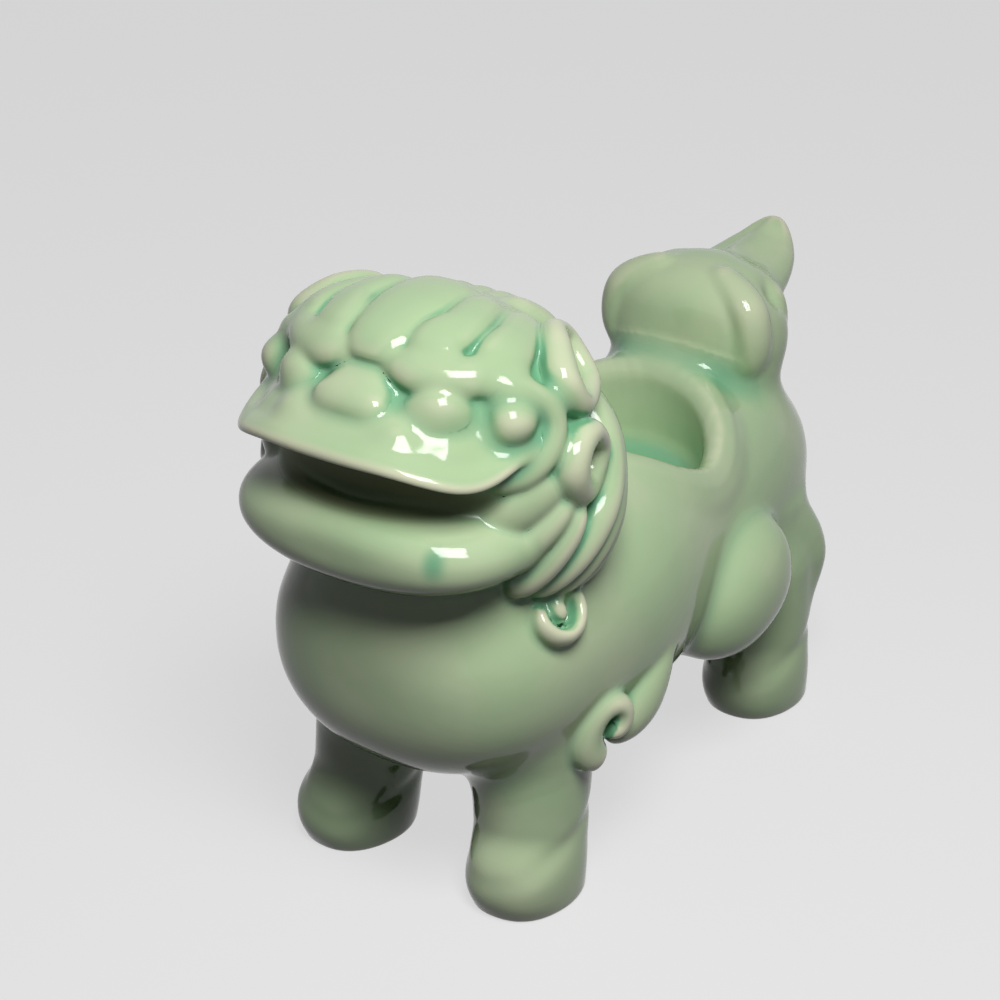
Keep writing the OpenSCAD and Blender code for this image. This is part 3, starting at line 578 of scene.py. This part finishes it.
def jowl(lion):
    """Two folds from the corner of the mouth down to the lower lip."""
    first = laid(lion.mane, [(80, 6, -6.4), (72, 3, -5.0), (62, -2, -4.4), (53, -8, -4.8), (46, -15, -6.6)],
                 4.2, 3.0, lead=0.9)
    second = laid(lion.mane, [(83, -1, -5.4), (76, -6, -4.2), (67, -14, -3.6), (60, -23, -3.6),
                              (55, -31, -5.0)], 3.2, 3.2)
    return [first, second]


def mane(lion):
    """Long strands combed from behind the ear down and forward to the shoulder."""
    routes = [[(122, 22, -6), (113, 8, -4), (104, -4, -3.4), (95, -13, -3), (86, -23, -2.6),
               (78, -33, -2.6), (74, -42, -4)],
              [(126, 26, -6), (117, 10, -3.6), (109, -4, -3), (101, -16, -2.4), (93, -27, -2),
               (86, -36, -2.2), (82, -44, -4)],
              [(130, 28, -6), (122, 11, -3.4), (115, -4, -2.8), (108, -18, -2), (101, -29, -1.6),
               (95, -38, -1.8), (91, -46, -4)],
              [(134, 30, -6), (127, 12, -3.4), (122, -4, -2.8), (116, -19, -2), (110, -31, -1.6),
               (104, -41, -2.4)],
              [(140, 32, -6), (134, 12, -3.8), (130, -5, -3.2), (125, -20, -3), (119, -33, -3.4),
               (113, -44, -4.4)],
              [(86, -4, -5), (81, -11, -3.8), (75, -20, -3.2), (69, -30, -3), (64, -41, -3.8)]]
    return [laid(lion.mane, route, (2.4, 2.6, 2.8, 2.8, 2.6), (3.6, 3.8, 3.8), tip=2.8) for route in routes]


def mane_ring(lion):
    """Ring curl under the ear, thicker in front of its hole."""
    path, out = over(lion.skull, [(85, -3, 2.4), (89, 4, 2.2), (97, 5, 2.0), (104, -3, 2.0), (99, -12, 2.2),
                                  (90, -11, 2.6)])
    return [ring_roll(path, out, (3.2, 2.8, 2.4, 2.0, 2.4, 3.0), (3.6, 3.2, 3.0, 2.8, 3.0, 3.4))]


def wound(middle, out, start, sweep, reach, tilt):
    """Points of an oval spiral round a middle, seen against out: it grows evenly with the angle, in degrees.

    The reach is along the oval, which is tilted up, and across it.
    """
    level = unit(np.cross([0, 0, 1.0], out))
    along = np.cos(np.radians(tilt)) * level + np.sin(np.radians(tilt)) * np.cross(out, level)
    inner = 0.16
    share = np.linspace(0.0, 1.0, 14)[:, None]
    angle = np.radians(start + sweep * share)
    spread = reach[0] * np.cos(angle) * along + reach[1] * np.sin(angle) * np.cross(out, along)
    return middle + (inner + (1.0 - inner) * share) * spread


def mane_curl(lion):
    """Spiral that ends the mane on the shoulder."""
    middle, out = (v[0] for v in over(lion.chest, [(58, 24, 0.8)]))
    path = wound(middle, out, 180, -440, (6.4, 5.2), 55)
    return [roll(path, out, (2.0, 1.9, 1.6, 1.5, 1.7), (3.2, 2.8, 2.6, 2.6), tip=6.0, steps=150)]


def nape_mane(lion):
    """Five broad locks combed down the back of the head."""
    shells = []
    for turn in (150, 165, 180, 195, 210):
        path, out = over_both(lion.skull, [(turn, 56, -3.0), (turn, 40, -0.6), (turn, 18, 0.6)],
                              lion.mane, [(turn, -8, -3.4), (turn, -26, -4.2), (turn, -38, -6.0)])
        shells.append(roll(path, out, 4.4, 3.6, tip=2.6, around=48))
    return shells


def leg(lion, paw, lean, turn):
    """Column on a rounded paw, closed flat on the ground and drawn in at the top, under the skin.

    Each ring is where rays out of the leg's axis leave the paw's egg blended with the column, less a soft
    groove over the toes.
    """
    cut, inward, heel = 3.0, 3.0, 3.0
    groove, groove_height, groove_width = 0.35, 12.0, 1.9
    ankle, growth, drawn = (10.0, 11.0), (2.4, 3.0), 0.4
    foot = Egg(np.array([0, 0, lion.paw_half[2] - cut]), lion.paw_half, 2.3, 2.3)
    top = lion.barrel.middle[2]
    cos, sin = np.cos(np.radians(turn)), np.sin(np.radians(turn))
    swing = np.array([[cos, -sin, 0], [sin, cos, 0], [0, 0, 1.0]])

    def centre(height):
        share = np.clip(height / top, 0.0, 1.0)
        return paw + np.stack([-inward * share, heel + (lean - heel) * share, 0 * share], -1)

    def gap(p):
        share = np.clip(p[..., 2] / top, 0.0, 1.0)
        draw = 1.0 - drawn * smooth((share - 0.65) / 0.35)
        wide, deep = (draw * (a + g * share ** 1.5) for a, g in zip(ankle, growth))
        away = p - centre(p[..., 2])
        column = (np.hypot(away[..., 0] / wide, away[..., 1] / deep) - 1.0) * wide
        toe = p - paw
        slant = toe[..., 2] - groove_height - 0.35 * toe[..., 1] - 0.15 * toe[..., 0]
        crease = bell(slant, 0.0, groove_width)
        return blend(egg_gap(foot, toe @ swing), column, 3.0) + groove * crease

    height = np.linspace(top - 3.0, 0.9, 120)
    axis = centre(height) + upright(height)
    rings = solved_rings(axis, (1, 0, 0), (0, 1, 0), gap, 30.0, 128)
    sole = paw + [0, 1.5, 0]
    inset = ((0.45, 0.015), (0.12, 0.045), (0.0, 0.09), (0.0, 0.3), (0.0, 0.6), (0.0, 0.85))
    last = [(rings[-1] + share * (sole - rings[-1])) * [1, 1, 0] + [0, 0, z] for z, share in inset]
    return [skin(np.concatenate([rings, last]), axis[0] + [0, 0, 1.0], sole)]


def front_leg(lion):
    """Front leg, its paw turned a little outward."""
    return leg(lion, lion.front_paw, 8.0, 6.0)


def hind_leg(lion):
    """Hind leg under the haunch."""
    return leg(lion, lion.hind_paw, 4.0, 3.0)


def shoulder_scroll(lion):
    """Spiral over the front leg, thin inside and broad at its outer turn."""
    middle = over(lion.chest, [(77, -20, 2.2)])[0][0]
    out = unit(np.array([1.0, -0.55, 0.08]))
    path = wound(middle, out, -150, 350, (7.0, 5.6), 55)
    return [roll(path, out, (2.0, 2.0, 2.4, 3.4, 4.0), (3.2, 3.2, 3.6, 3.8), tip=6.0, steps=150)]


def shoulder_flame(lion):
    """Pointed leaf behind the shoulder's spiral."""
    path = np.array([(30.0, -36.0, 31.0), (31.4, -29.0, 34.5), (31.4, -22.0, 39.5), (30.6, -15.0, 45.0)])
    return [roll(path, (1.0, -0.1, 0.1), (4.6, 4.8, 3.4), 3.6, lead=0.8, tip=1.8)]


def haunch(lion):
    """Thigh: an egg on the flank, its knee forward and low."""
    shell = egg_shell(lion.thigh, 120, 120)
    slope = np.radians(18.0)
    turn = np.array([[1, 0, 0], [0, np.cos(slope), -np.sin(slope)], [0, np.sin(slope), np.cos(slope)]])
    return [shell._replace(points=(shell.points - lion.thigh.middle) @ turn.T + lion.thigh.middle)]


def hock_tuft(lion):
    """Pointed lobe behind the hind leg."""
    path = lion.hind_paw + np.array([(-5, -3, 45), (1, 7, 41), (4, 12, 31), (3, 7, 16)])
    return [roll(path, (0.6, 1.0, 0.1), (3.0, 5.4, 6.0, 5.6), (2.6, 4.6, 4.8, 4.4), lead=0.9)]


def tail(lion):
    """Tuft on a short oval neck that sinks into the rump, with a hollow at each end."""
    half_width, half_length = 18.0, 11.4

    def gap(p):
        oval = np.hypot(p[..., 0] / half_width, (p[..., 1] - lion.tuft.middle[1]) / half_length)
        neck = (oval - 1.0) * half_length
        below = -blend(-neck, lion.tuft.middle[2] - 2.0 - p[..., 2], 8.0)
        return blend(egg_gap(lion.tuft, p), below, 6.0)

    crown = lion.tuft.middle[2] + lion.tuft.half[2] * np.cos(np.linspace(0.06, 1.5, 70))
    height = np.concatenate([crown, np.linspace(crown[-1] - 0.4, 56.0, 70)])
    axis = lion.tuft.middle * [1, 1, 0] + upright(height)
    rings = solved_rings(axis, (1, 0, 0), (0, 1, 0), gap, 30.0, 160)
    shell = skin(rings, lion.tuft.middle + [0, 0, lion.tuft.half[2]], axis[-1])
    for side in (-1, 1):
        shell = pressed(shell, lion.tuft, (105 * side, 22), 3.6, 2.4)
    return [shell]


def tail_flame(lion):
    """Broad pointed lobe with a ridge between two grooves, leaning back."""
    path = np.array([(0, 39, 82), (0, 52, 82), (0, 63, 82), (0, 73, 84.8), (0, 79.3, 90.2)])
    return [roll(path, (0, -0.6, 1.0), (11.8, 11.8, 11.0, 9.4, 7.2), (7.0, 6.8, 6.2, 5.2, 4.0), lead=0.75,
                 steps=120, around=96, crease=(0.45, 0.2, 0.14))]


def tail_curl(lion):
    """Roll over the end of the tuft, and a low one behind it."""
    rim = laid(lion.tuft, [(64, 72, -2.6), (66, 50, -1.2), (68, 18, -0.6), (69, -14, -0.6), (69, -42, -1.0),
                           (66, -62, -2.4)],
               (3.6, 3.8, 3.8, 3.2), (3.0, 3.2, 3.0), tip=2.6)
    low = laid(lion.tuft, [(128, 40, -2.4), (122, 16, -1.6), (120, -14, -1.6), (122, -44, -2.6)], 3.2, 2.8)
    return [rim, low]


# Skin: the pieces joined softly into one surface

class Skin:
    """Distance to the joined surface on a grid of cells, negative inside."""

    def __init__(self, cell):
        low, high = (MM * np.array(corner) for corner in CAD_BOX)
        self.cell = cell
        self.first = np.floor((low - 2 * BAND) / cell).astype(int)
        self.count = np.ceil((high + 2 * BAND) / cell).astype(int) - self.first
        self.gap = np.full(self.count, BAND, np.float32)

    def copy(self):
        """Another skin with the same distances."""
        other = Skin(self.cell)
        other.gap = self.gap.copy()
        return other

    def join(self, shell, width):
        """Joins a closed shell to the surface, softly over a width."""
        grid = openvdb.FloatGrid.createLevelSetFromPolygons(
            shell.points.astype(np.float32), triangles=shell.triangles.astype(np.uint32),
            quads=shell.quads.astype(np.uint32), halfWidth=BAND / self.cell,
            transform=openvdb.createLinearTransform(voxelSize=self.cell))
        first = np.floor((shell.points.min(0) - BAND) / self.cell).astype(int)
        last = np.ceil((shell.points.max(0) + BAND) / self.cell).astype(int)
        first = np.maximum(first, self.first)
        last = np.minimum(last, self.first + self.count)
        near = np.empty(last - first, np.float32)
        grid.copyToArray(near, ijk=tuple(int(i) for i in first))
        window = tuple(slice(a, b) for a, b in zip(first - self.first, last - self.first))
        here = self.gap[window]
        self.gap[window] = np.where(np.minimum(here, near) < BAND - 0.01, blend(here, near, width), BAND)

    def at(self, p):
        """Distance at points, weighed from the eight cells around each."""
        q = p / self.cell - self.first
        cell = np.clip(np.floor(q).astype(int), 0, self.count - 2)
        f = q - cell
        total = np.zeros(len(p))
        for corner in np.ndindex(2, 2, 2):
            weight = np.prod(np.where(corner, f, 1.0 - f), -1)
            total += weight * self.gap[tuple((cell + corner).T)]
        return total

    def slope(self, p, reach=0.5):
        """Direction in which the distance grows, taken over a reach to each side."""
        steps = reach * np.eye(3)
        return np.stack([self.at(p + step) - self.at(p - step) for step in steps], -1) / (2 * reach)

    def normals(self, p, own):
        """Directions out of the joined surface at points on it, and their own ones at points deep in it."""
        share = smooth((0.7 - np.abs(self.at(p))) / 0.4)[:, None]
        return unit(own + share * (unit(self.slope(p, 0.7)) - own))

    def settled(self, points, deep):
        """Points a little under the surface, lifted nearly onto it. Those deeper than `deep` stay hidden."""
        depth = np.maximum(-self.at(points), 0.0)
        lift = smooth((deep - depth) / (0.5 * deep))
        goal = -depth * (1.0 - LIFT * lift)
        near = (depth > 0.02) & (lift > 0.0)
        p = points[near]
        for _ in range(4):
            slope = self.slope(p)
            step = (self.at(p) - goal[near]) / np.maximum(np.sum(slope ** 2, -1), 0.3)
            p = p - step[:, None] * slope
        moved = points.copy()
        moved[near] = p
        return moved

    def hollow(self, p, reach):
        """How much the surface folds inward: one less the share of a step outward that leaves it."""
        return 1.0 - self.at(p + reach * unit(self.slope(p))) / reach

    def ridge(self, p, reach):
        """How much the surface bends outward: mean distance of four points beside each one from it."""
        out = unit(self.slope(p))
        side = unit(np.cross(out, np.where(np.abs(out[:, 2:]) < 0.9, (0, 0, 1.0), (1.0, 0, 0))))
        ways = side, -side, np.cross(out, side), np.cross(side, out)
        return sum(self.at(p + reach * way) for way in ways) / (4 * reach)


# Meshes and the glaze

# Layers that the glaze reads
LAYERS = ("hollow", "ridge", "mouth")
# Middle and spread, in millimetres, of the drip on the chin and of the painted shade inside the mouth
DRIP = (19.5, -74.8, 82.0), (2.4, 3.0, 4.5)
MOUTH_SHADE = (0.0, -56.0, 89.0), (27.0, 22.0, 7.5)
# Height against the well's mount, and spread, of the glaze that has pooled in the well
POOL = -5.5, 3.0


def new_mesh(name, shells):
    """Mesh in metres made from whole arrays of points and faces."""
    counts = np.cumsum([0] + [len(shell.points) for shell in shells])
    points = np.concatenate([shell.points for shell in shells])
    quads = np.concatenate([shell.quads + start for shell, start in zip(shells, counts)])
    triangles = np.concatenate([shell.triangles + start for shell, start in zip(shells, counts)])
    corners = np.concatenate([quads.ravel(), triangles.ravel()])
    starts = np.concatenate([np.arange(len(quads)) * 4, 4 * len(quads) + np.arange(len(triangles)) * 3])
    mesh = bpy.data.meshes.new(name)
    mesh.vertices.add(len(points))
    mesh.loops.add(len(corners))
    mesh.polygons.add(len(starts))
    mesh.vertices.foreach_set("co", (points / MM).astype(np.float32).ravel())
    mesh.loops.foreach_set("vertex_index", corners.astype(np.int32))
    mesh.polygons.foreach_set("loop_start", starts.astype(np.int32))
    mesh.update(calc_edges=True)
    mesh.validate()
    mesh.shade_smooth()
    return mesh


def add_layer(mesh, name, values):
    """Stores one number per point, held between 0 and 1."""
    layer = mesh.attributes.new(name, "FLOAT", "POINT")
    layer.data.foreach_set("value", np.clip(values, 0, 1).astype(np.float32))


def node(tree, kind, inputs=None, **settings):
    """Adds a shader node with its settings, and links or sets its inputs."""
    made = tree.nodes.new("ShaderNode" + kind)
    for name, value in settings.items():
        setattr(made, name, value)
    for name, value in (inputs or {}).items():
        if isinstance(value, bpy.types.NodeSocket):
            tree.links.new(value, made.inputs[name])
        else:
            made.inputs[name].default_value = value
    return made


def mixed(tree, share, first, second):
    """Colour between two others."""
    mix = node(tree, "Mix", data_type="RGBA")
    for index, value in ((0, share), (6, first), (7, second)):
        if isinstance(value, bpy.types.NodeSocket):
            tree.links.new(value, mix.inputs[index])
        else:
            mix.inputs[index].default_value = (*value, 1.0)
    return mix.outputs[2]


def ranged(tree, value, low, high, bottom=0.0, top=1.0):
    """Number moved softly from one range to another."""
    limits = {"From Min": low, "From Max": high, "To Min": bottom, "To Max": top}
    return node(tree, "MapRange", {"Value": value, **limits}, interpolation_type="SMOOTHSTEP").outputs[0]


def celadon(glaze):
    """Glossy celadon: teal where it pools, cream where it runs thin, painted shade inside the mouth, with
    clouds and bare clay soles.
    """
    material = bpy.data.materials.get(GLAZE)
    if material:
        return material
    material = bpy.data.materials.new(GLAZE)
    material.use_nodes = True
    tree = material.node_tree
    surface = tree.nodes["Principled BSDF"]
    place = node(tree, "TexCoord").outputs["Object"]
    cloud = node(tree, "TexNoise", {"Vector": place, "Scale": 45.0, "Detail": 3.0}).outputs["Fac"]
    grain = node(tree, "TexNoise", {"Vector": place, "Scale": 420.0, "Detail": 2.0}).outputs["Fac"]
    layers = [node(tree, "Attribute", attribute_name=layer).outputs["Fac"] for layer in LAYERS]
    hollow, ridge, mouth = layers
    height = node(tree, "SeparateXYZ", {"Vector": place}).outputs["Z"]
    paint = mixed(tree, ranged(tree, cloud, 0.35, 0.7, 0.0, 0.35), glaze.body, glaze.thin)
    paint = mixed(tree, ranged(tree, ridge, 0.09, 0.28), paint, glaze.thin)
    paint = mixed(tree, ranged(tree, hollow, 0.1, 0.55), paint, glaze.pooled)
    # Painted shade: the inside of the mouth is darkened towards the near-black mouth colour
    paint = mixed(tree, ranged(tree, mouth, 0.0, 1.0, 0.0, 0.8), paint, glaze.mouth)
    paint = mixed(tree, ranged(tree, height, 0.0007, 0.0003), paint, glaze.clay)
    tree.links.new(paint, surface.inputs["Base Color"])
    gloss = ranged(tree, grain, 0.3, 0.7, 0.06, 0.13)
    dull = ranged(tree, mouth, 0.0, 1.0, 0.0, 0.6)
    rough = node(tree, "Math", {0: gloss, 1: dull}, operation="MAXIMUM").outputs[0]
    tree.links.new(rough, surface.inputs["Roughness"])
    surface.inputs["IOR"].default_value = 1.4
    bump = node(tree, "Bump", {"Height": grain, "Strength": 0.12, "Distance": 0.0002})
    tree.links.new(bump.outputs["Normal"], surface.inputs["Normal"])
    return material


def glazed_piece(name, shells, whole, glaze):
    """Object of one piece on the joined skin, with the layers that its glaze reads."""
    mesh = new_mesh(name, shells)
    points = np.concatenate([shell.points for shell in shells])
    drip = bell_round(points, *DRIP)
    well = points - MM * np.array(WELL["pos_m"])
    inside = np.hypot(well[:, 0], well[:, 1]) < WELL["dims"]["r_mm"] + 0.5
    pool = inside * bell(well[:, 2], *POOL)
    fine, broad = 1.0, 2.5
    fold = 0.5 * whole.hollow(points, fine) + 0.5 * whole.hollow(points, broad)
    add_layer(mesh, "hollow", fold + 0.5 * drip + 0.35 * pool)
    add_layer(mesh, "ridge", whole.ridge(points, 2.0))
    # Painted shade: the mouth layer is strongest in the middle of an oval round the inside of the mouth
    add_layer(mesh, "mouth", 3.0 * (1.0 - np.sum(((points - MOUTH_SHADE[0]) / MOUTH_SHADE[1]) ** 2, -1)))
    own = np.empty((len(points), 3), np.float32)
    mesh.vertices.foreach_get("normal", own.ravel())
    mesh.normals_split_custom_set_from_vertices(whole.normals(points, own))
    mesh.materials.append(celadon(glaze))
    piece = bpy.data.objects.new("glazed_" + name, mesh)
    bpy.context.scene.collection.objects.link(piece)
    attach(piece, BODY)
    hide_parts(name)


# Operators: one for each piece or group of like pieces

class PieceMaker:
    """What the piece operators share: a shape, and whether it is paired, a large body, or softly joined."""
    bl_options = {"REGISTER"}
    shape = None
    paired = False
    large = False
    soft = False

    @classmethod
    def parts(cls, lion):
        """Names of the pieces with their shells."""
        shells = cls.shape(lion)
        name = cls.shape.__name__
        if not cls.paired:
            return {name: shells}
        return {name + "_left": shells, name + "_right": [mirrored(shell) for shell in shells]}

    def execute(self, context):
        """Makes the pieces on the joined skin."""
        lion, body, whole = joined_lion(context.scene.lion_forms)
        depth = BODY_DEPTH * (MM * context.scene.lion_forms.body_join)
        for name, shells in self.parts(lion).items():
            if self.large:
                shells = [shell._replace(points=body.settled(shell.points, depth)) for shell in shells]
            shells = [shell._replace(points=whole.settled(shell.points, PIECE_DEPTH)) for shell in shells]
            glazed_piece(name, shells, whole, context.scene.lion_glaze)
        return {"FINISHED"}


class LION_OT_trunk(PieceMaker, bpy.types.Operator):
    """Make the trunk with the neck and the dish for the cup"""
    bl_idname = "lion.trunk"
    bl_label = "Trunk"
    shape = staticmethod(trunk)
    large = True


class LION_OT_candle_cup(PieceMaker, bpy.types.Operator):
    """Make the candle cup in the back"""
    bl_idname = "lion.candle_cup"
    bl_label = "Candle cup"
    shape = staticmethod(candle_cup)
    large = True


class LION_OT_head(PieceMaker, bpy.types.Operator):
    """Make the skull"""
    bl_idname = "lion.head"
    bl_label = "Head"
    shape = staticmethod(head)
    large = True


class LION_OT_upper_jaw(PieceMaker, bpy.types.Operator):
    """Make the muzzle with its overhanging lip"""
    bl_idname = "lion.upper_jaw"
    bl_label = "Upper jaw"
    shape = staticmethod(upper_jaw)
    soft = True


class LION_OT_lower_jaw(PieceMaker, bpy.types.Operator):
    """Make the chin and lower lip"""
    bl_idname = "lion.lower_jaw"
    bl_label = "Lower jaw"
    shape = staticmethod(lower_jaw)
    soft = True


class LION_OT_nose(PieceMaker, bpy.types.Operator):
    """Make the nose"""
    bl_idname = "lion.nose"
    bl_label = "Nose"
    shape = staticmethod(nose)
    soft = True


class LION_OT_eyes(PieceMaker, bpy.types.Operator):
    """Make both eyes"""
    bl_idname = "lion.eyes"
    bl_label = "Eyes"
    shape = staticmethod(eye)
    paired = True
    soft = True


class LION_OT_forelock(PieceMaker, bpy.types.Operator):
    """Make the middle lobe of the forehead"""
    bl_idname = "lion.forelock"
    bl_label = "Forelock"
    shape = staticmethod(forelock)


class LION_OT_brows(PieceMaker, bpy.types.Operator):
    """Make the lobes over both eyes"""
    bl_idname = "lion.brows"
    bl_label = "Brows"
    shape = staticmethod(brow)
    paired = True


class LION_OT_ears(PieceMaker, bpy.types.Operator):
    """Make both ears"""
    bl_idname = "lion.ears"
    bl_label = "Ears"
    shape = staticmethod(ear)
    paired = True


class LION_OT_cheek_scrolls(PieceMaker, bpy.types.Operator):
    """Make the scrolls that end the upper lip"""
    bl_idname = "lion.cheek_scrolls"
    bl_label = "Cheek scrolls"
    shape = staticmethod(cheek_scroll)
    paired = True
    soft = True


class LION_OT_jowls(PieceMaker, bpy.types.Operator):
    """Make the folds at the corners of the mouth"""
    bl_idname = "lion.jowls"
    bl_label = "Jowls"
    shape = staticmethod(jowl)
    paired = True


class LION_OT_manes(PieceMaker, bpy.types.Operator):
    """Make the strands of the mane on both sides"""
    bl_idname = "lion.manes"
    bl_label = "Manes"
    shape = staticmethod(mane)
    paired = True


class LION_OT_mane_rings(PieceMaker, bpy.types.Operator):
    """Make the ring curls under the ears"""
    bl_idname = "lion.mane_rings"
    bl_label = "Mane rings"
    shape = staticmethod(mane_ring)
    paired = True


class LION_OT_mane_curls(PieceMaker, bpy.types.Operator):
    """Make the spirals that end the mane on the shoulders"""
    bl_idname = "lion.mane_curls"
    bl_label = "Mane curls"
    shape = staticmethod(mane_curl)
    paired = True


class LION_OT_nape_mane(PieceMaker, bpy.types.Operator):
    """Make the locks down the back of the head"""
    bl_idname = "lion.nape_mane"
    bl_label = "Nape mane"
    shape = staticmethod(nape_mane)


class LION_OT_front_legs(PieceMaker, bpy.types.Operator):
    """Make both front legs with their paws"""
    bl_idname = "lion.front_legs"
    bl_label = "Front legs"
    shape = staticmethod(front_leg)
    paired = True
    large = True


class LION_OT_hind_legs(PieceMaker, bpy.types.Operator):
    """Make both hind legs with their paws"""
    bl_idname = "lion.hind_legs"
    bl_label = "Hind legs"
    shape = staticmethod(hind_leg)
    paired = True
    large = True


class LION_OT_shoulder_scrolls(PieceMaker, bpy.types.Operator):
    """Make the spirals over the front legs"""
    bl_idname = "lion.shoulder_scrolls"
    bl_label = "Shoulder scrolls"
    shape = staticmethod(shoulder_scroll)
    paired = True


class LION_OT_shoulder_flames(PieceMaker, bpy.types.Operator):
    """Make the leaves behind the shoulder scrolls"""
    bl_idname = "lion.shoulder_flames"
    bl_label = "Shoulder flames"
    shape = staticmethod(shoulder_flame)
    paired = True


class LION_OT_haunches(PieceMaker, bpy.types.Operator):
    """Make both haunches"""
    bl_idname = "lion.haunches"
    bl_label = "Haunches"
    shape = staticmethod(haunch)
    paired = True
    soft = True


class LION_OT_hock_tufts(PieceMaker, bpy.types.Operator):
    """Make the lobes behind the hind legs"""
    bl_idname = "lion.hock_tufts"
    bl_label = "Hock tufts"
    shape = staticmethod(hock_tuft)
    paired = True
    soft = True


class LION_OT_tail(PieceMaker, bpy.types.Operator):
    """Make the tuft of the tail on its neck"""
    bl_idname = "lion.tail"
    bl_label = "Tail"
    shape = staticmethod(tail)
    large = True


class LION_OT_tail_flame(PieceMaker, bpy.types.Operator):
    """Make the pointed lobe of the tail"""
    bl_idname = "lion.tail_flame"
    bl_label = "Tail flame"
    shape = staticmethod(tail_flame)
    large = True


class LION_OT_tail_curls(PieceMaker, bpy.types.Operator):
    """Make the rolls at the corners of the tail"""
    bl_idname = "lion.tail_curls"
    bl_label = "Tail curls"
    shape = staticmethod(tail_curl)
    paired = True


PIECE_MAKERS = tuple(PieceMaker.__subclasses__())
JOINED = {}


def join_pieces(whole, lion, makers, forms):
    """Joins the shells of some pieces to a skin, each as softly as its kind."""
    for maker in makers:
        softness = forms.face_join if maker.soft else forms.sprig_join
        if maker.large:
            softness = forms.body_join
        for shells in maker.parts(lion).values():
            for shell in shells:
                whole.join(shell, MM * softness)


def joined_lion(forms):
    """The lion's forms, the skin of its large bodies, and the skin of all its pieces, worked out once."""
    if not JOINED:
        lion = Lion(forms)
        body = Skin(MM * forms.cell)
        join_pieces(body, lion, [maker for maker in PIECE_MAKERS if maker.large], forms)
        whole = body.copy()
        join_pieces(whole, lion, [maker for maker in PIECE_MAKERS if not maker.large], forms)
        JOINED["lion"] = lion, body, whole
    return JOINED["lion"]


# Stage

def aim(thing, place, target):
    """Puts a lamp or camera at a place and points it at a target."""
    thing.location = place
    thing.rotation_euler = (Vector(target) - Vector(place)).to_track_quat("-Z", "Y").to_euler()


def area_light(name, place, target, size, power):
    """Square soft light that shines on a target."""
    data = bpy.data.lights.new(name, "AREA")
    data.shape = "SQUARE"
    data.size = size
    data.energy = power
    lamp = bpy.data.objects.new(name, data)
    bpy.context.scene.collection.objects.link(lamp)
    aim(lamp, place, target)


def seen_ray(tree):
    """One for rays that the camera, a gloss or a glass sees, and nought for light that bounces."""
    path = node(tree, "LightPath").outputs
    seen = path["Is Camera Ray"]
    for ray in ("Is Glossy Ray", "Is Transmission Ray"):
        seen = node(tree, "Math", {0: seen, 1: path[ray]}, operation="MAXIMUM").outputs[0]
    return seen


def floor_material(pale, bounce):
    """Floor that keeps a soft shadow: an even pale grey where it is seen, dark for light that bounces."""
    evenness = 0.8
    material = bpy.data.materials.new("pale_floor")
    material.use_nodes = True
    tree = material.node_tree
    tree.nodes.remove(tree.nodes["Principled BSDF"])
    seen = seen_ray(tree)
    matt = node(tree, "BsdfDiffuse", {"Color": mixed(tree, seen, bounce, pale)})
    even = node(tree, "Emission", {"Color": (*pale, 1.0)})
    share = node(tree, "MapRange", {"Value": seen, "To Max": evenness}).outputs[0]
    mix = node(tree, "MixShader", {0: share, 1: matt.outputs[0], 2: even.outputs[0]})
    tree.links.new(mix.outputs[0], tree.nodes["Material Output"].inputs["Surface"])
    return material


class LION_OT_stage(bpy.types.Operator):
    """Set up the floor, the lights and the camera"""
    bl_idname = "lion.stage"
    bl_label = "Stage"

    def execute(self, context):
        """Makes the stage."""
        stage = context.scene.lion_stage
        reach = 6.0
        mesh = bpy.data.meshes.new("floor")
        mesh.from_pydata([(-reach, -reach, 0), (reach, -reach, 0), (reach, reach, 0), (-reach, reach, 0)], [],
                         [(0, 1, 2, 3)])
        mesh.materials.append(floor_material(stage.floor, stage.bounce))
        floor = bpy.data.objects.new("floor", mesh)
        context.scene.collection.objects.link(floor)
        area_light("window", stage.lamp, stage.target, stage.lamp_size, stage.lamp_power)
        world = bpy.data.worlds.new("room")
        world.use_nodes = True
        tree = world.node_tree
        back = tree.nodes["Background"]
        back.inputs["Color"].default_value = (*stage.floor, 1.0)
        strength = node(tree, "MapRange", {"Value": seen_ray(tree), "To Min": stage.fill, "To Max": 1.0})
        tree.links.new(strength.outputs[0], back.inputs["Strength"])
        context.scene.world = world
        data = bpy.data.cameras.new("camera")
        data.lens = stage.lens
        camera = bpy.data.objects.new("camera", data)
        context.scene.collection.objects.link(camera)
        aim(camera, stage.camera, stage.target)
        context.scene.camera = camera
        context.scene.view_settings.view_transform = "Standard"
        return {"FINISHED"}


class LION_PT_panel(bpy.types.Panel):
    """Lists the lion's pieces and its settings"""
    bl_idname = "LION_PT_panel"
    bl_label = "Guardian lion"
    bl_space_type = "VIEW_3D"
    bl_region_type = "UI"
    bl_category = "Lion"

    def draw(self, context):
        """Draws a button for each operator and a row for each setting."""
        for maker in PIECE_MAKERS + (LION_OT_stage,):
            self.layout.operator(maker.bl_idname)
        for name, group in SETTINGS.items():
            for setting in group.__annotations__:
                self.layout.prop(getattr(context.scene, name), setting)


SETTINGS = {"lion_forms": LionForms, "lion_glaze": LionGlaze, "lion_stage": LionStage}
CLASSES = tuple(SETTINGS.values()) + PIECE_MAKERS + (LION_OT_stage, LION_PT_panel)


def register():
    """Registers the settings, operators and panel."""
    for cls in CLASSES:
        bpy.utils.register_class(cls)
    for name, group in SETTINGS.items():
        setattr(bpy.types.Scene, name, bpy.props.PointerProperty(type=group))


def unregister():
    """Removes them again."""
    for name in SETTINGS:
        delattr(bpy.types.Scene, name)
    for cls in reversed(CLASSES):
        bpy.utils.unregister_class(cls)


def main():
    """Builds every piece and the stage."""
    register()
    for maker in PIECE_MAKERS + (LION_OT_stage,):
        group, name = maker.bl_idname.split(".")
        getattr(getattr(bpy.ops, group), name)()


if __name__ == "__main__":
    main()
